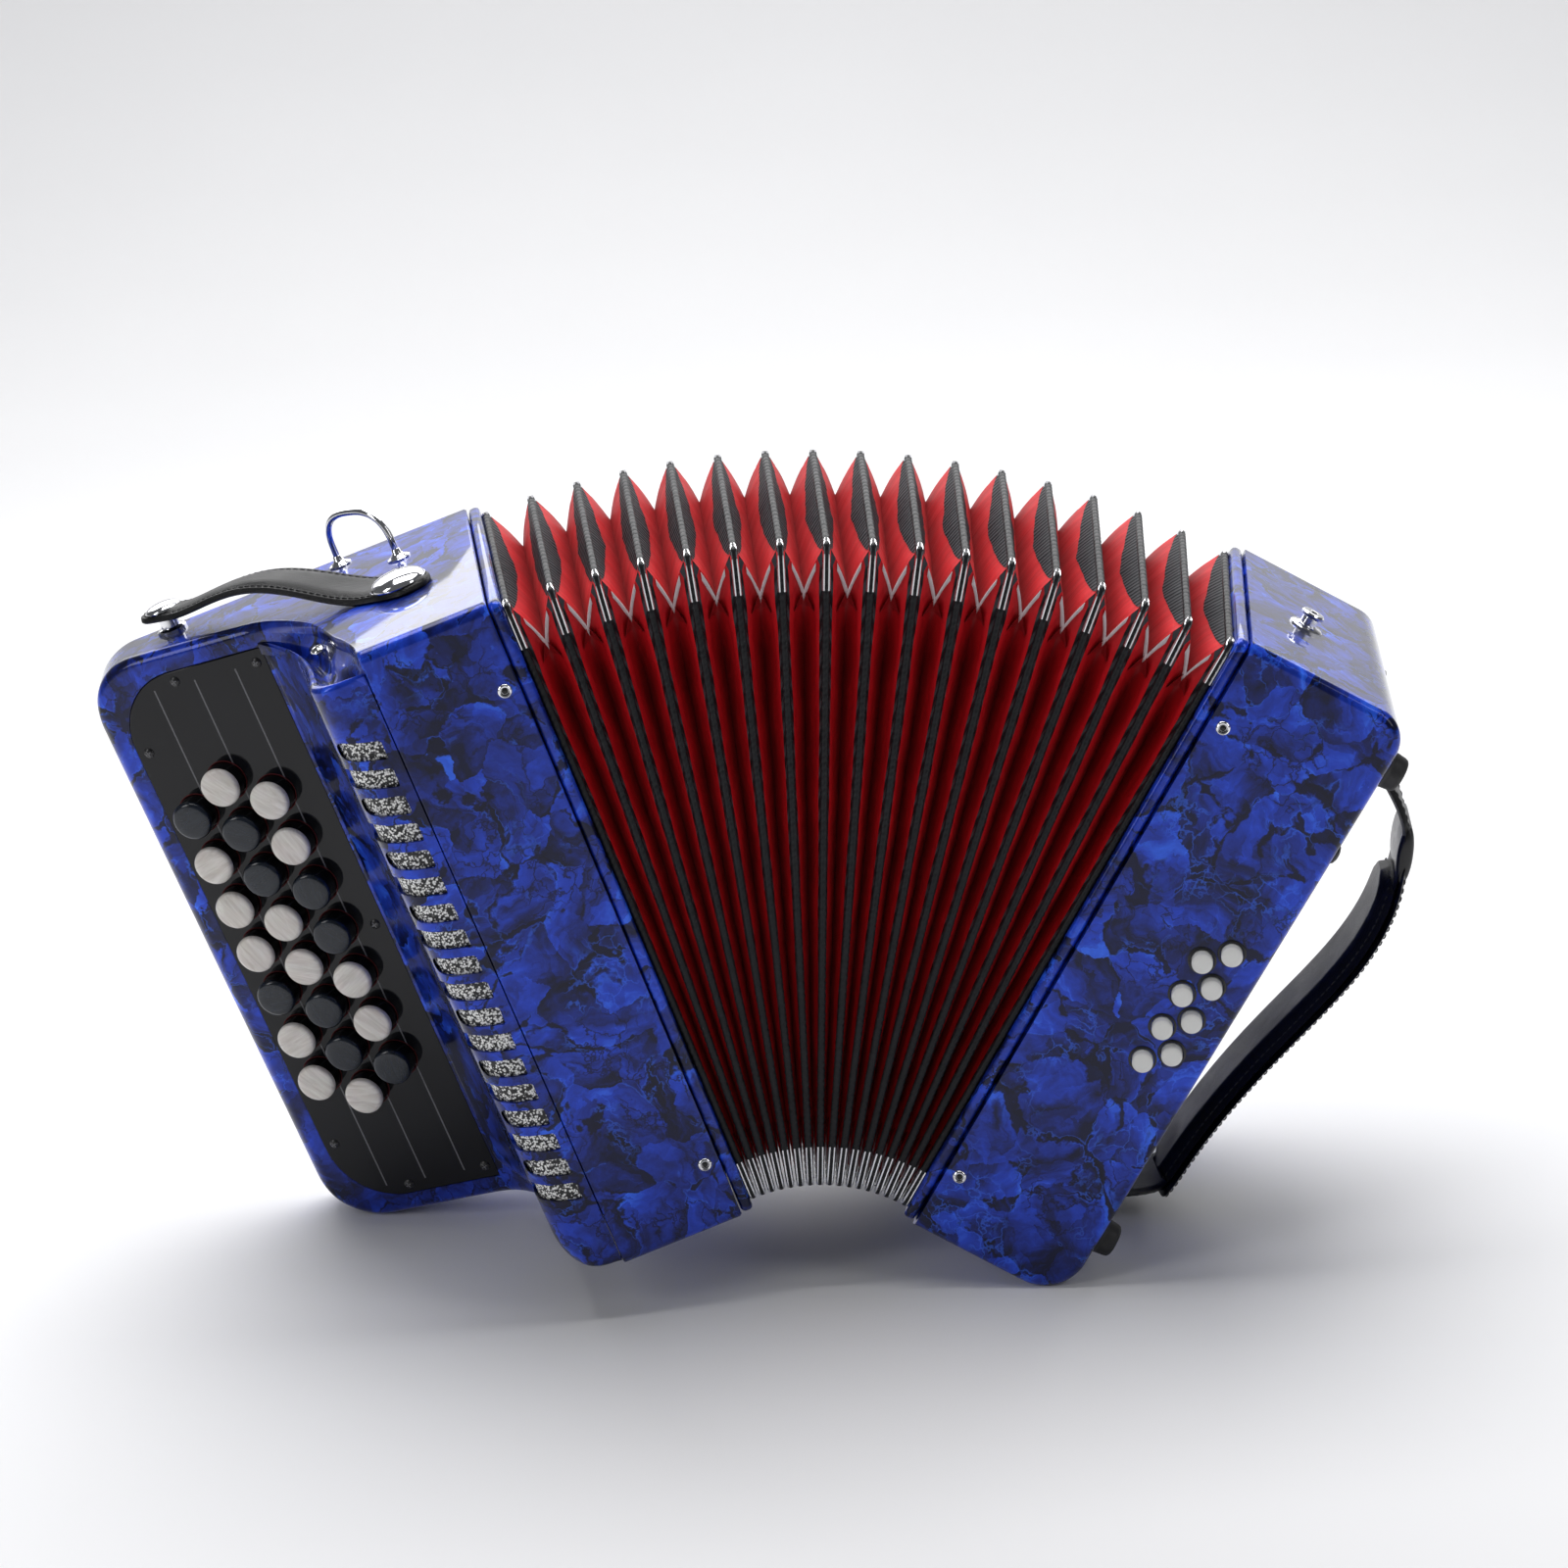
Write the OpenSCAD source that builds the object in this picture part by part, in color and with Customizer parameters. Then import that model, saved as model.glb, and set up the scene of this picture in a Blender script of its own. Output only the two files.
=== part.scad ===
// Button accordion, standing half open on its two casings.
// Every casing is drawn in its own frame: x = 0 is the face that meets the bellows,
// z = 0 is its lower end, and y runs from the front (negative) to the back.

/* [Casings] */
// Height of both casings
casing_h = 285; // [270:1:300]
// Depth of both casings, front to back
casing_d = 164; // [156:1:170]
// Width of the treble main box
main_w = 53; // [50:1:56]
// Width of the bass box
bass_w = 70.5; // [68:0.5:76]
// Wall thickness of the casings
wall = 4; // [3:0.5:5]
// Radius of the bass box's outer lower corner
bass_low_r = 19.5; // [15:0.5:24]
// Radius of the bass box's outer upper corner
bass_top_r = 14; // [8:0.5:20]

/* [Keyboard] */
// Distance from the bellows side to the foot of the grille
board_u = 97.5; // [94:0.5:100]
// Distance from the bellows side to the keyboard's outer end
board_end_u = 178.5; // [176:0.5:184]
// Tilt of the button board, outer edge backwards
board_tilt = 22.6; // [20:0.2:24]
// Radius of the keyboard's outer corners
board_r = 26; // [18:1:30]
// Thickness of the black button board
board_t = 3; // [2:0.5:4]

/* [Buttons] */
// Diameter of a treble button
button_d = 17.4; // [16:0.1:17.6]
// Height of a treble button above the board
button_h = 9.5; // [7:0.5:10]
// Distance between treble buttons along a row
button_pitch = 22.3; // [21:0.1:23]
// Distance between the treble rows
row_pitch = 19.3; // [19:0.1:19.8]
// Diameter of a bass button
bass_button_d = 8.5; // [7:0.5:9]
// Distance between bass buttons along a column
bass_button_pitch = 16.3; // [15:0.1:18]

/* [Bellows] */
// Angle between the two casings as the bellows stand open
fan = 49.3; // [40:0.1:54]
// Slant of the line about which the bellows fan out, so that they open wider at the back
fan_slant = 19.5; // [0:0.5:24]
// Distance between two ridges when the bellows are shut
fold_pitch = 3.95; // [3.8:0.05:4.4]
// Thickness of a ridge
ridge_t = 3.2; // [2.8:0.1:3.2]
// Depth of a fold from its ridge inwards
fold_depth = 20; // [16:1:24]
// Thickness of the bellows frames
frame_t = 5; // [4:0.5:6]

/* [Grille] */
// Thickness of the grille cover
cover_t = 2.5; // [2:0.5:3]
// Distance between the grille's slots
slot_pitch = 12.1; // [11.6:0.1:12.2]
// Height of a slot
slot_h = 7; // [5:0.5:8]

/* [Hidden] */
$fn = 48;
folds = 16;
half_d = casing_d / 2;
step = fan / folds;
ridge_inset = 3;
ridge_low = 4;
ridge_high = casing_h - 4;
ridge_len = ridge_high - ridge_low;
seam = 0.4;
ridge_x = seam + frame_t + ridge_t / 2;
arc_r = fold_pitch / (2 * sin(step / 2));

// the keyboard's plane
plane_y = -half_d + 106;
plane_len = (board_end_u - board_u) / cos(board_tilt);
rim = 10.8;

// the grille cover's lower end, and its corner
cover_low = 3;
cover_r = 20;

// rows of treble buttons: distance along the plane, top button, number of buttons
row_s = [22.9 + 2 * row_pitch, 22.9 + row_pitch, 22.9];
row_mid = casing_h / 2 + 1.8;
row_top = [row_mid + 3 * button_pitch, row_mid + 3.5 * button_pitch, row_mid + 3 * button_pitch];
row_n = [7, 8, 7];
board_hole_r = button_d / 2 + 0.4;
// how far the button board stands out of the keyboard
board_out = 0.4;

// the bellows fan out about this line, and `across` is square to it in a ridge's plane
along = [0, cos(fan_slant), -sin(fan_slant)];
across = [0, sin(fan_slant), cos(fan_slant)];
ridge_half = half_d - ridge_inset;
reach = arc_r + ridge_half * sin(fan_slant);

function fanned(a, v) = v * cos(a) + cross(along, v) * sin(a) + along * (along * v) * (1 - cos(a));
// a point of the treble or bass casing before the whole stands on the floor
function treble_point(u, y, w) = fanned(-fan / 2, [-ridge_x - u, y, w - ridge_low] + reach * across);
function bass_point(u, y, w) = fanned(fan / 2, [ridge_x + u, y, w - ridge_low] + reach * across);

// the whole rests on the keyboard's lower corner and on both ends of the bass casing's lower corner;
// these are the centres of the corners' roundings
rest_t_u = board_end_u - board_r;
rest_t = treble_point(rest_t_u, plane_y + (rest_t_u - board_u) * tan(board_tilt), board_r);
rest_f = bass_point(bass_w - bass_low_r, -half_d, bass_low_r);
rest_b = bass_point(bass_w - bass_low_r, half_d, bass_low_r);
function unit(v) = v / norm(v);
function plane_up(a, b, c) = unit(cross(b - a, c - a));
up_guess = plane_up(rest_t, rest_f, rest_b);
up = plane_up(rest_t - (board_r - bass_low_r) * up_guess, rest_f, rest_b);

// turns about x and then y that make the floor level, and the floor's height
level = atan2(up[1], up[2]);
settle = -atan2(up[0], norm([up[1], up[2]]));
floor_z = up * rest_f - bass_low_r;

// the origin is at the middle of the base
origin_x = -8.42;
origin_y = 11.87;

function arc(cx, cy, r, a0, a1, n = 20) =
    [for (i = [0:n]) [cx + r * cos(a0 + (a1 - a0) * i / n), cy + r * sin(a0 + (a1 - a0) * i / n)]];
function two(n) = n < 10 ? str("0", n) : str(n);

module fan_frame(a) {
    translate([-origin_x, -origin_y, -floor_z]) rotate([0, settle, 0]) rotate([level, 0, 0])
        rotate(a = a, v = along) translate(reach * across) children();
}
module treble_frame() {
    fan_frame(-fan / 2) translate([-ridge_x, 0, -ridge_low]) children();
}
module bass_frame() {
    fan_frame(fan / 2) translate([ridge_x, 0, -ridge_low]) children();
}
module fold_frame(k) {
    fan_frame(k * step - fan / 2) children();
}
// on the keyboard: x runs outwards along the plane, y stands out of it, z is up
module board_frame() {
    translate([-board_u, plane_y, 0]) rotate([0, 0, 180 - board_tilt]) children();
}
// draws a shape given in x and z through the whole depth
module through_depth(y0, y1) {
    translate([0, y1, 0]) rotate([90, 0, 0]) linear_extrude(y1 - y0) children();
}

// ---- treble casing ----

// keyboard and neck, drawn smaller all round by i
module keyboard_block(i) {
    drop = i / cos(board_tilt) - i * tan(board_tilt);
    outer = board_end_u - i;
    y_out = plane_y + (board_end_u - board_u) * tan(board_tilt);
    intersection() {
        translate([0, 0, i]) linear_extrude(casing_h - 2 * i) polygon([
            [-main_w + 1, plane_y + i],
            [-board_u, plane_y + i],
            [-outer, y_out + drop],
            [-outer, half_d - i],
            [-main_w + 1, half_d - i]
        ]);
        through_depth(-half_d, half_d) polygon(concat(
            [[-main_w + 1, i]],
            arc(-board_end_u + board_r, board_r, board_r - i, -90, -180),
            arc(-board_end_u + board_r, casing_h - board_r, board_r - i, 180, 90),
            [[-main_w + 1, casing_h - i]]
        ));
    }
}

module treble_casing() {
    color("mediumblue") treble_frame() difference() {
        union() {
            translate([-main_w, -half_d, 0]) cube([main_w, casing_d, casing_h]);
            keyboard_block(0);
        }
        // inside of the main box, open to the bellows
        translate([-main_w + wall, -half_d + wall, wall])
            cube([main_w, casing_d - 2 * wall, casing_h - 2 * wall]);
        // inside of the keyboard
        keyboard_block(wall);
        // way from the keyboard into the main box
        translate([-main_w - 3, plane_y + 8, 50]) cube([12, 44, 190]);
        // seat of the button board and the opening under it
        board_frame() through_depth(board_out - board_t - 0.05, 6) polygon(board_outline(0.3));
        board_frame() translate([8, -9, 50]) cube([65.5, 20, 188]);
    }
}

// slant of the grille's slots, and the scoop's direction in plan
slot_slant = 15;
scoop_turn = 16.6;
// outside outline of the grille cover in x and y, i inwards
foot_u = board_u - main_w;
function cover_outline(i) = concat(
    [[-main_w, -half_d + i]],
    arc(-main_w - 9, -half_d + 14, 14 - i, -90, -180),
    [for (t = [0.1:0.1:0.9]) [
        -main_w - 23 - (foot_u - 23) * pow(t, 2.2) + i,
        -half_d + 14 + (plane_y + half_d - 14) * t
    ]],
    [[-board_u + i, plane_y], [-main_w, plane_y]]
);

module grille_cover() {
    color("mediumblue") treble_frame() difference() {
        intersection() {
            translate([0, 0, cover_low]) linear_extrude(casing_h - cover_low) polygon(cover_outline(0));
            through_depth(-half_d, half_d) polygon(concat(
                [[-main_w, cover_low]],
                arc(-board_u + cover_r, cover_low + cover_r, cover_r, -90, -180),
                [[-board_u, casing_h], [-main_w, casing_h]]
            ));
        }
        // hollow behind the slots
        translate([0, 0, cover_low + 18]) linear_extrude(casing_h - cover_low - 48) polygon(cover_outline(cover_t));
        // slots, their outer ends a little higher
        for (i = [0:17])
            translate([-main_w - 5, -half_d - 5, 40 + i * slot_pitch]) rotate([0, slot_slant, 0])
                translate([(i % 2) * 2 - 20, 0, -slot_h / 2]) cube([20 - (i % 2) * 2, 22, slot_h]);
        // bowl at the upper end, between the cover's lip and the neck
        translate([-main_w - 18.8, -42.9, casing_h - 6]) rotate([0, 0, scoop_turn]) rotate([90, 0, 0]) {
            translate([0, 0, -90]) cylinder(h = 123, r = 8);
            translate([-48, 0, -130]) cube([56, 20, 260]);
        }
    }
}

module grille_cloth() {
    color("dimgray") treble_frame() translate([0, 0, cover_low + 18.2]) linear_extrude(casing_h - cover_low - 48.4)
        difference() {
            polygon(cover_outline(cover_t + 0.1));
            polygon(cover_outline(cover_t + 0.7));
        }
}

// outline of the button board, i outwards
function board_outline(i) = concat(
    [[0.6 - i, 10 - i]],
    arc(plane_len - rim - 22, 32, 22 + i, -90, 0),
    arc(plane_len - rim - 22, casing_h - 32, 22 + i, 0, 90),
    [[0.6 - i, casing_h - 10 + i]]
);
// button board, let into the keyboard, with a hole for each button
module fingerboard() {
    color("black") treble_frame() board_frame() difference() {
        through_depth(board_out - board_t, board_out) polygon(board_outline(0));
        for (r = [0:2]) for (i = [0:row_n[r] - 1])
            translate([row_s[r], -board_t - 1, row_top[r] - i * button_pitch]) rotate([-90, 0, 0])
                cylinder(h = board_t + 2, r = board_hole_r);
    }
}

module treble_button(r, i, tint) {
    color(tint) treble_frame() board_frame()
        translate([row_s[r], 0, row_top[r] - i * button_pitch]) rotate([-90, 0, 0]) {
            translate([0, 0, -6]) cylinder(h = board_out + button_h + 6, r = button_d / 2);
            translate([0, 0, -7.5]) cylinder(h = 2, r = button_d / 2 + 1.2);
        }
}
// numbered from 1: outer row, middle row, inner row, each from the top
module treble_button_nr(n, tint) {
    r = n <= 7 ? 0 : n <= 15 ? 1 : 2;
    i = n <= 7 ? n - 1 : n <= 15 ? n - 8 : n - 16;
    treble_button(r, i, tint);
}

// ---- bellows ----

module ring_bars(low, high, depth, t, half) {
    translate([-t / 2, -half, low]) cube([t, 2 * half, depth]);
    translate([-t / 2, -half, high - depth]) cube([t, 2 * half, depth]);
    for (y = [-half, half - depth])
        translate([-t / 2, y, low + depth + 0.04]) cube([t, depth, high - low - 2 * depth - 0.08]);
}
module bellows_fold(k) {
    color("firebrick") fold_frame(k) ring_bars(0, ridge_len, fold_depth, ridge_t, ridge_half);
}
module treble_bellows_frame() {
    color("mediumblue") treble_frame() {
        translate([seam + frame_t / 2 - 0.02, 0, 0]) ring_bars(1, casing_h - 1, 13, frame_t - 0.04, half_d - 1);
        translate([ridge_x, 0, 0]) ring_bars(ridge_low, ridge_high, fold_depth, ridge_t, ridge_half);
    }
}
module bass_bellows_frame() {
    color("mediumblue") bass_frame() mirror([1, 0, 0]) {
        translate([seam + frame_t / 2 - 0.02, 0, 0]) ring_bars(1, casing_h - 1, 13, frame_t - 0.04, half_d - 1);
        translate([ridge_x, 0, 0]) ring_bars(ridge_low, ridge_high, fold_depth, ridge_t, ridge_half);
    }
}
// board that closes a casing, with two reed blocks that stand into the bellows
module soundboard(stand_in) {
    translate([-7, -half_d + wall, wall]) cube([7, casing_d - 2 * wall, casing_h - 2 * wall]);
    for (y = [-40, 8]) translate([0, y, 60]) cube([stand_in, 32, 165]);
}
module treble_soundboard() {
    color("burlywood") treble_frame() soundboard(26);
}
module bass_soundboard() {
    color("burlywood") bass_frame() mirror([1, 0, 0]) soundboard(22);
}

// ---- bass casing ----

function bass_outline(i) = concat(
    [[0, i]],
    arc(bass_w - bass_low_r, bass_low_r, bass_low_r - i, -90, 0),
    arc(bass_w - bass_top_r, casing_h - bass_top_r, bass_top_r - i, 0, 90),
    [[0, casing_h - i]]
);
// columns of bass buttons: distance from the bellows, height of the top button
bass_col_u = [46.3, 55.1];
bass_col_top = [162, 170.2];

module bass_casing() {
    color("mediumblue") bass_frame() difference() {
        through_depth(-half_d, half_d) polygon(bass_outline(0));
        translate([-1, 0, 0]) through_depth(-half_d + wall, half_d - wall) polygon(bass_outline(wall));
        for (c = [0:1]) for (i = [0:3])
            translate([bass_col_u[c], -half_d - 1, bass_col_top[c] - i * bass_button_pitch]) rotate([-90, 0, 0])
                cylinder(h = wall + 2, r = bass_button_d / 2 + 0.3);
        translate([bass_w - wall - 1, -60, 220]) rotate([0, 90, 0]) cylinder(h = wall + 2, r = 4.8);
    }
}
module bass_button(c, i) {
    color("ivory") bass_frame() translate([bass_col_u[c], 0, bass_col_top[c] - i * bass_button_pitch])
        rotate([-90, 0, 0]) {
            translate([0, 0, -half_d - 5]) cylinder(h = 16, r = bass_button_d / 2);
            translate([0, 0, -half_d + wall + 5]) cylinder(h = 2, r = bass_button_d / 2 + 1.5);
        }
}
module air_button() {
    color("black") bass_frame() translate([bass_w, -60, 220]) rotate([0, 90, 0]) {
        translate([0, 0, -14]) cylinder(h = 19, r = 4.5);
        translate([0, 0, -wall - 7]) cylinder(h = 2, r = 6);
    }
}
module bass_feet() {
    color("#151515") bass_frame() for (y = [-66, 66]) for (z = [29, 262])
        translate([bass_w, y, z]) rotate([0, 90, 0]) {
            cylinder(h = 8.5, r1 = 7.8, r2 = 7);
            cylinder(h = 2, r = 8.4);
        }
}
// hand strap: a padded band that stands off the end face
strap_low = 22;
strap_high = 252;
strap_foot = 23;
strap_hump = 26;
function strap_x(t) = bass_w + 0.5 + strap_foot * sin(90 * min(1, 11 * t, 9 * (1 - t)))
    + strap_hump * pow(sin(180 * pow(t, 1.9)), 1.3);
module hand_strap() {
    n = 46;
    color("#1b1b1d") bass_frame() {
        through_depth(-26, 26) polygon(concat(
            [for (i = [0:n]) [strap_x(i / n) + 4.5, strap_low + (strap_high - strap_low) * i / n]],
            [for (i = [n:-1:0]) [strap_x(i / n), strap_low + (strap_high - strap_low) * i / n]]
        ));
        translate([bass_w, -26, strap_low - 6]) cube([6, 52, 6.5]);
        translate([bass_w, -26, strap_high - 0.5]) cube([6, 52, 6.5]);
    }
}

// ---- metal fittings ----

module dome(r, h) {
    cr = (r * r + h * h) / (2 * h);
    rotate_extrude() polygon(concat(
        [[0, 0]],
        arc(0, h - cr, cr, asin((cr - h) / cr), 90, 10)
    ));
}
module pin_head() {
    rotate([90, 0, 0]) cylinder(h = 1.2, r = 2.6);
}
module snap_stud() {
    cylinder(h = 1.2, r = 7.2);
    translate([0, 0, 1.2]) cylinder(h = 4, r = 3.6);
    translate([0, 0, 5.2]) cylinder(h = 2, r = 5);
}
// wire loop for a shoulder strap: two legs and a half ring, with a washer at each leg
wire_r = 1.6;
module strap_loop(w) {
    translate([0, 0, 8]) rotate([90, 0, 0]) rotate_extrude(angle = 180) translate([w, 0]) circle(r = wire_r);
    for (s = [-1, 1]) translate([s * w, 0, 0]) {
        cylinder(h = 8, r = wire_r);
        cylinder(h = 2, r = 5);
    }
}
module treble_fixings() {
    color("silver") treble_frame() {
        for (z = [30, 250]) translate([-6, -half_d, z]) pin_head();
        for (z = [30, 250]) translate([-6, half_d, z]) mirror([0, 1, 0]) pin_head();
        // rivet and stud of the bellows strap
        translate([strap_from[0], strap_from[1], casing_h]) {
            cylinder(h = strap_t + 0.1, r = strap_pin_r);
            translate([0, 0, strap_t + 0.1]) dome(12, 5);
        }
        translate([strap_to[0], strap_to[1], casing_h]) {
            cylinder(h = 2, r = 6.5);
            cylinder(h = stud_h - 0.2, r = 4);
            cylinder(h = stud_h + strap_t + 0.1, r = strap_pin_r);
            translate([0, 0, stud_h + strap_t + 0.1]) dome(8, 3);
        }
        translate([-45, 52, casing_h]) rotate([0, 0, -46.6]) strap_loop(19);
    }
}
module bass_fixings() {
    color("silver") bass_frame() {
        for (z = [30, 250]) translate([6.5, -half_d, z]) pin_head();
        for (z = [30, 250]) translate([6.5, half_d, z]) mirror([0, 1, 0]) pin_head();
        translate([26, -9, casing_h]) snap_stud();
    }
}
strap_from = [-32.5, -13];
strap_to = [-135, 68];
strap_t = 3;
strap_pin_r = 2;
stud_h = 7;
// leather strap that shuts the bellows, parked across the keyboard's upper end
module bellows_strap() {
    run = norm(strap_to - strap_from);
    turn = atan2(strap_to[1] - strap_from[1], strap_to[0] - strap_from[0]);
    n = 16;
    // lies flat under the rivet, bows up, and ends flat on the stud
    band = concat(
        [[-14, 0]],
        [for (i = [0:n]) let (t = i / n)
            [14 + (run - 24) * t, stud_h * t * t * (3 - 2 * t) + 9 * pow(sin(180 * t), 1.6)]],
        [[run + 12, stud_h]]
    );
    last = len(band) - 1;
    color("#1b1b1d") treble_frame() translate([strap_from[0], strap_from[1], casing_h])
        rotate([0, 0, turn]) difference() {
            through_depth(-11, 11) polygon(concat(
                [for (p = band) [p[0], p[1] + strap_t]],
                [for (i = [last:-1:0]) band[i]]
            ));
            for (x = [0, run]) translate([x, 0, -1]) cylinder(h = stud_h + 12, r = strap_pin_r + 0.1);
        }
}

dark = "#26292f";
pale = "#e9e2da";
// colours of the treble buttons, in the order of their numbers
tints = [
    dark, pale, pale, pale, dark, pale, pale,
    pale, dark, dark, pale, pale, dark, dark, pale,
    pale, pale, dark, dark, pale, pale, dark
];

treble_casing();
grille_cover();
grille_cloth();
fingerboard();
treble_bellows_frame();
treble_soundboard();
treble_fixings();
bellows_strap();
for (n = [1:22]) {
    treble_button_nr(n, tints[n - 1]);
}
for (k = [1:folds - 1]) {
    bellows_fold(k);
}
bass_casing();
bass_bellows_frame();
bass_soundboard();
bass_fixings();
hand_strap();
bass_feet();
for (n = [1:8]) {
    bass_button(n <= 4 ? 0 : 1, (n - 1) % 4);
}
air_button();
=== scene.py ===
import math
import bpy
import bmesh
import numpy as np
from mathutils import Matrix, Vector


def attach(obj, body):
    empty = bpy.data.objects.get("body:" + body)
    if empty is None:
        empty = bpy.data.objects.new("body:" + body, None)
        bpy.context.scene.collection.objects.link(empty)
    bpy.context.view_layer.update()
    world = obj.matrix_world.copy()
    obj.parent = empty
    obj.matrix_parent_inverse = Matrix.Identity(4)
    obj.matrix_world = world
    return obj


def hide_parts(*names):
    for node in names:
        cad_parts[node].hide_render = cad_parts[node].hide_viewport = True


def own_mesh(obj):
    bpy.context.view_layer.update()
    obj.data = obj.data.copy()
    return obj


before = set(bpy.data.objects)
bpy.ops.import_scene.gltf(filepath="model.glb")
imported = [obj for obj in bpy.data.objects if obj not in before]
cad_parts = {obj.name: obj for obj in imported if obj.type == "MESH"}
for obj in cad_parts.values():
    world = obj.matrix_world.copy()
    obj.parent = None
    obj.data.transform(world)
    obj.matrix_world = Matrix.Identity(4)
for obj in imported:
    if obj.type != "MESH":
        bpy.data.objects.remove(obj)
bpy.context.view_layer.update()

scene = bpy.context.scene
sin = lambda d: math.sin(math.radians(d))
cos = lambda d: math.cos(math.radians(d))


def root(x):
    """Square root, nought below nought."""
    return math.sqrt(max(0.0, x))


def linked(name, data):
    o = bpy.data.objects.new(name, data)
    scene.collection.objects.link(o)
    return o


def turned(a, axis):
    return Matrix.Rotation(math.radians(a), 4, axis)


def shift(x, y, z):
    return Matrix.Translation((x, y, z))


# ---- sizes, in millimetres, as the CAD model has them ----
H, HALF, MAIN, BASS = 285.0, 82.0, 53.0, 70.5
BOARD_U, BOARD_END, TILT, BOARD_R = 97.5, 178.5, 22.6, 26.0
BASS_LOW, BASS_TOP = 19.5, 14.0
FAN, SLANT, FOLDS, PITCH, RIDGE_T, FOLD_D = 49.3, 19.5, 16, 3.95, 3.2, 20.0
SEAM, FRAME_T = 0.4, 5.0
STEP = FAN / FOLDS
RIDGE_X, RIDGE_LOW, RIDGE_LEN, RIDGE_HALF = SEAM + FRAME_T + RIDGE_T / 2, 4.0, H - 8.0, HALF - 3.0
REACH = PITCH / (2 * sin(STEP / 2)) + RIDGE_HALF * sin(SLANT)
PLANE_Y = -HALF + 106
PLANE_LEN = (BOARD_END - BOARD_U) / cos(TILT)
BUTTON_D, BUTTON_H, BUTTON_PITCH, ROW_PITCH, BOARD_OUT = 17.4, 9.5, 22.3, 19.3, 0.4
MM = 0.001

# ---- frames: each casing and each ridge of the bellows has its own ----
along = Vector((0, cos(SLANT), -sin(SLANT)))
across = Vector((0, sin(SLANT), cos(SLANT)))


def fanned(a):
    return turned(a, along) @ Matrix.Translation(REACH * across)


def stand():
    """Puts the whole on the floor: on the keyboard's lower corner and both ends of the bass casing's lower corner."""
    t = fanned(-FAN / 2) @ shift(-RIDGE_X, 0, -RIDGE_LOW)
    b = fanned(FAN / 2) @ shift(RIDGE_X, 0, -RIDGE_LOW)
    u = BOARD_END - BOARD_R
    p = t @ Vector((-u, PLANE_Y + (u - BOARD_U) * math.tan(math.radians(TILT)), BOARD_R))
    q, r = (b @ Vector((BASS - BASS_LOW, y, BASS_LOW)) for y in (-HALF, HALF))
    up = (q - p).cross(r - p).normalized()
    p = p - (BOARD_R - BASS_LOW) * up
    up = (q - p).cross(r - p).normalized()
    level = math.atan2(up.y, up.z)
    settle = -math.atan2(up.x, math.hypot(up.y, up.z))
    return (
        shift(8.42, -11.87, BASS_LOW - up.dot(q))
        @ turned(math.degrees(settle), "Y")
        @ turned(math.degrees(level), "X")
    )


STAND = stand()
TREBLE = STAND @ fanned(-FAN / 2) @ shift(-RIDGE_X, 0, -RIDGE_LOW)
BASSF = STAND @ fanned(FAN / 2) @ shift(RIDGE_X, 0, -RIDGE_LOW)
BOARD = TREBLE @ shift(-BOARD_U, PLANE_Y, 0) @ turned(180 - TILT, "Z")


def fold(k):
    return STAND @ fanned(k * STEP - FAN / 2)


# ---- camera ----
def camera():
    yaw, pitch, roll = -0.745, 17.082, -4.602
    f = Vector((sin(yaw) * cos(pitch), cos(yaw) * cos(pitch), -sin(pitch)))
    r = Vector((cos(yaw), -sin(yaw), 0))
    u = r.cross(f)
    r, u = cos(roll) * r + sin(roll) * u, cos(roll) * u - sin(roll) * r
    data = bpy.data.cameras.new("camera")
    data.lens, data.sensor_width, data.clip_start = 67.05, 36, 0.01
    cam = linked("camera", data)
    m = Matrix((r, u, -f)).transposed().to_4x4()
    m.translation = Vector((29.6, -1172.1, 564.6)) * MM
    cam.matrix_world = m
    scene.camera = cam


camera()


# ---- materials ----
def N(t, kind, ins=None, **props):
    n = t.nodes.new("ShaderNode" + kind)
    for k, v in props.items():
        setattr(n, k, v)
    for k, v in (ins or {}).items():
        if isinstance(v, bpy.types.NodeSocket):
            t.links.new(v, n.inputs[k])
        else:
            n.inputs[k].default_value = v
    return n


def calc(t, op, a, b=0.0, c=0.0):
    return N(t, "Math", {0: a, 1: b, 2: c}, operation=op).outputs[0]


def times(t, a, b):
    return calc(t, "MULTIPLY", a, b)


def mapped(t, co, **values):
    return N(t, "Mapping", {"Vector": co, **values}).outputs[0]


def vec(t, op, a, b=(0, 0, 0), out=0):
    return N(t, "VectorMath", {0: a, 1: b}, operation=op).outputs[out]


def scaled(t, a, s):
    return N(t, "VectorMath", {0: a, "Scale": s}, operation="SCALE").outputs[0]


def ramp(t, fac, *stops, mode="LINEAR"):
    n = N(t, "ValToRGB", {"Fac": fac})
    n.color_ramp.interpolation = mode
    e = n.color_ramp.elements
    while len(e) < len(stops):
        e.new(0.5)
    for i, (p, c) in enumerate(stops):
        e[i].position = p
        e[i].color = (c, c, c, 1) if isinstance(c, (int, float)) else (*c, 1)
    return n.outputs[0]


def mix(t, fac, a, b, mode="MIX"):
    n = N(t, "Mix", data_type="RGBA", blend_type=mode)
    for k, v in ((0, fac), (6, a), (7, b)):
        if isinstance(v, bpy.types.NodeSocket):
            t.links.new(v, n.inputs[k])
        elif k:
            n.inputs[k].default_value = (*v, 1) if len(v) == 3 else v
        else:
            n.inputs[k].default_value = v
    return n.outputs[2]


def noise(t, co, scale, detail=2.0, rough=0.5, distortion=0.0, out=0):
    values = {"Vector": co, "Scale": scale, "Detail": detail, "Roughness": rough, "Distortion": distortion}
    return N(t, "TexNoise", values).outputs[out]


def to_edge(t, co, scale):
    """Distance to the nearest edge between cells."""
    return N(t, "TexVoronoi", {"Vector": co, "Scale": scale}, feature="DISTANCE_TO_EDGE").outputs["Distance"]


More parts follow.
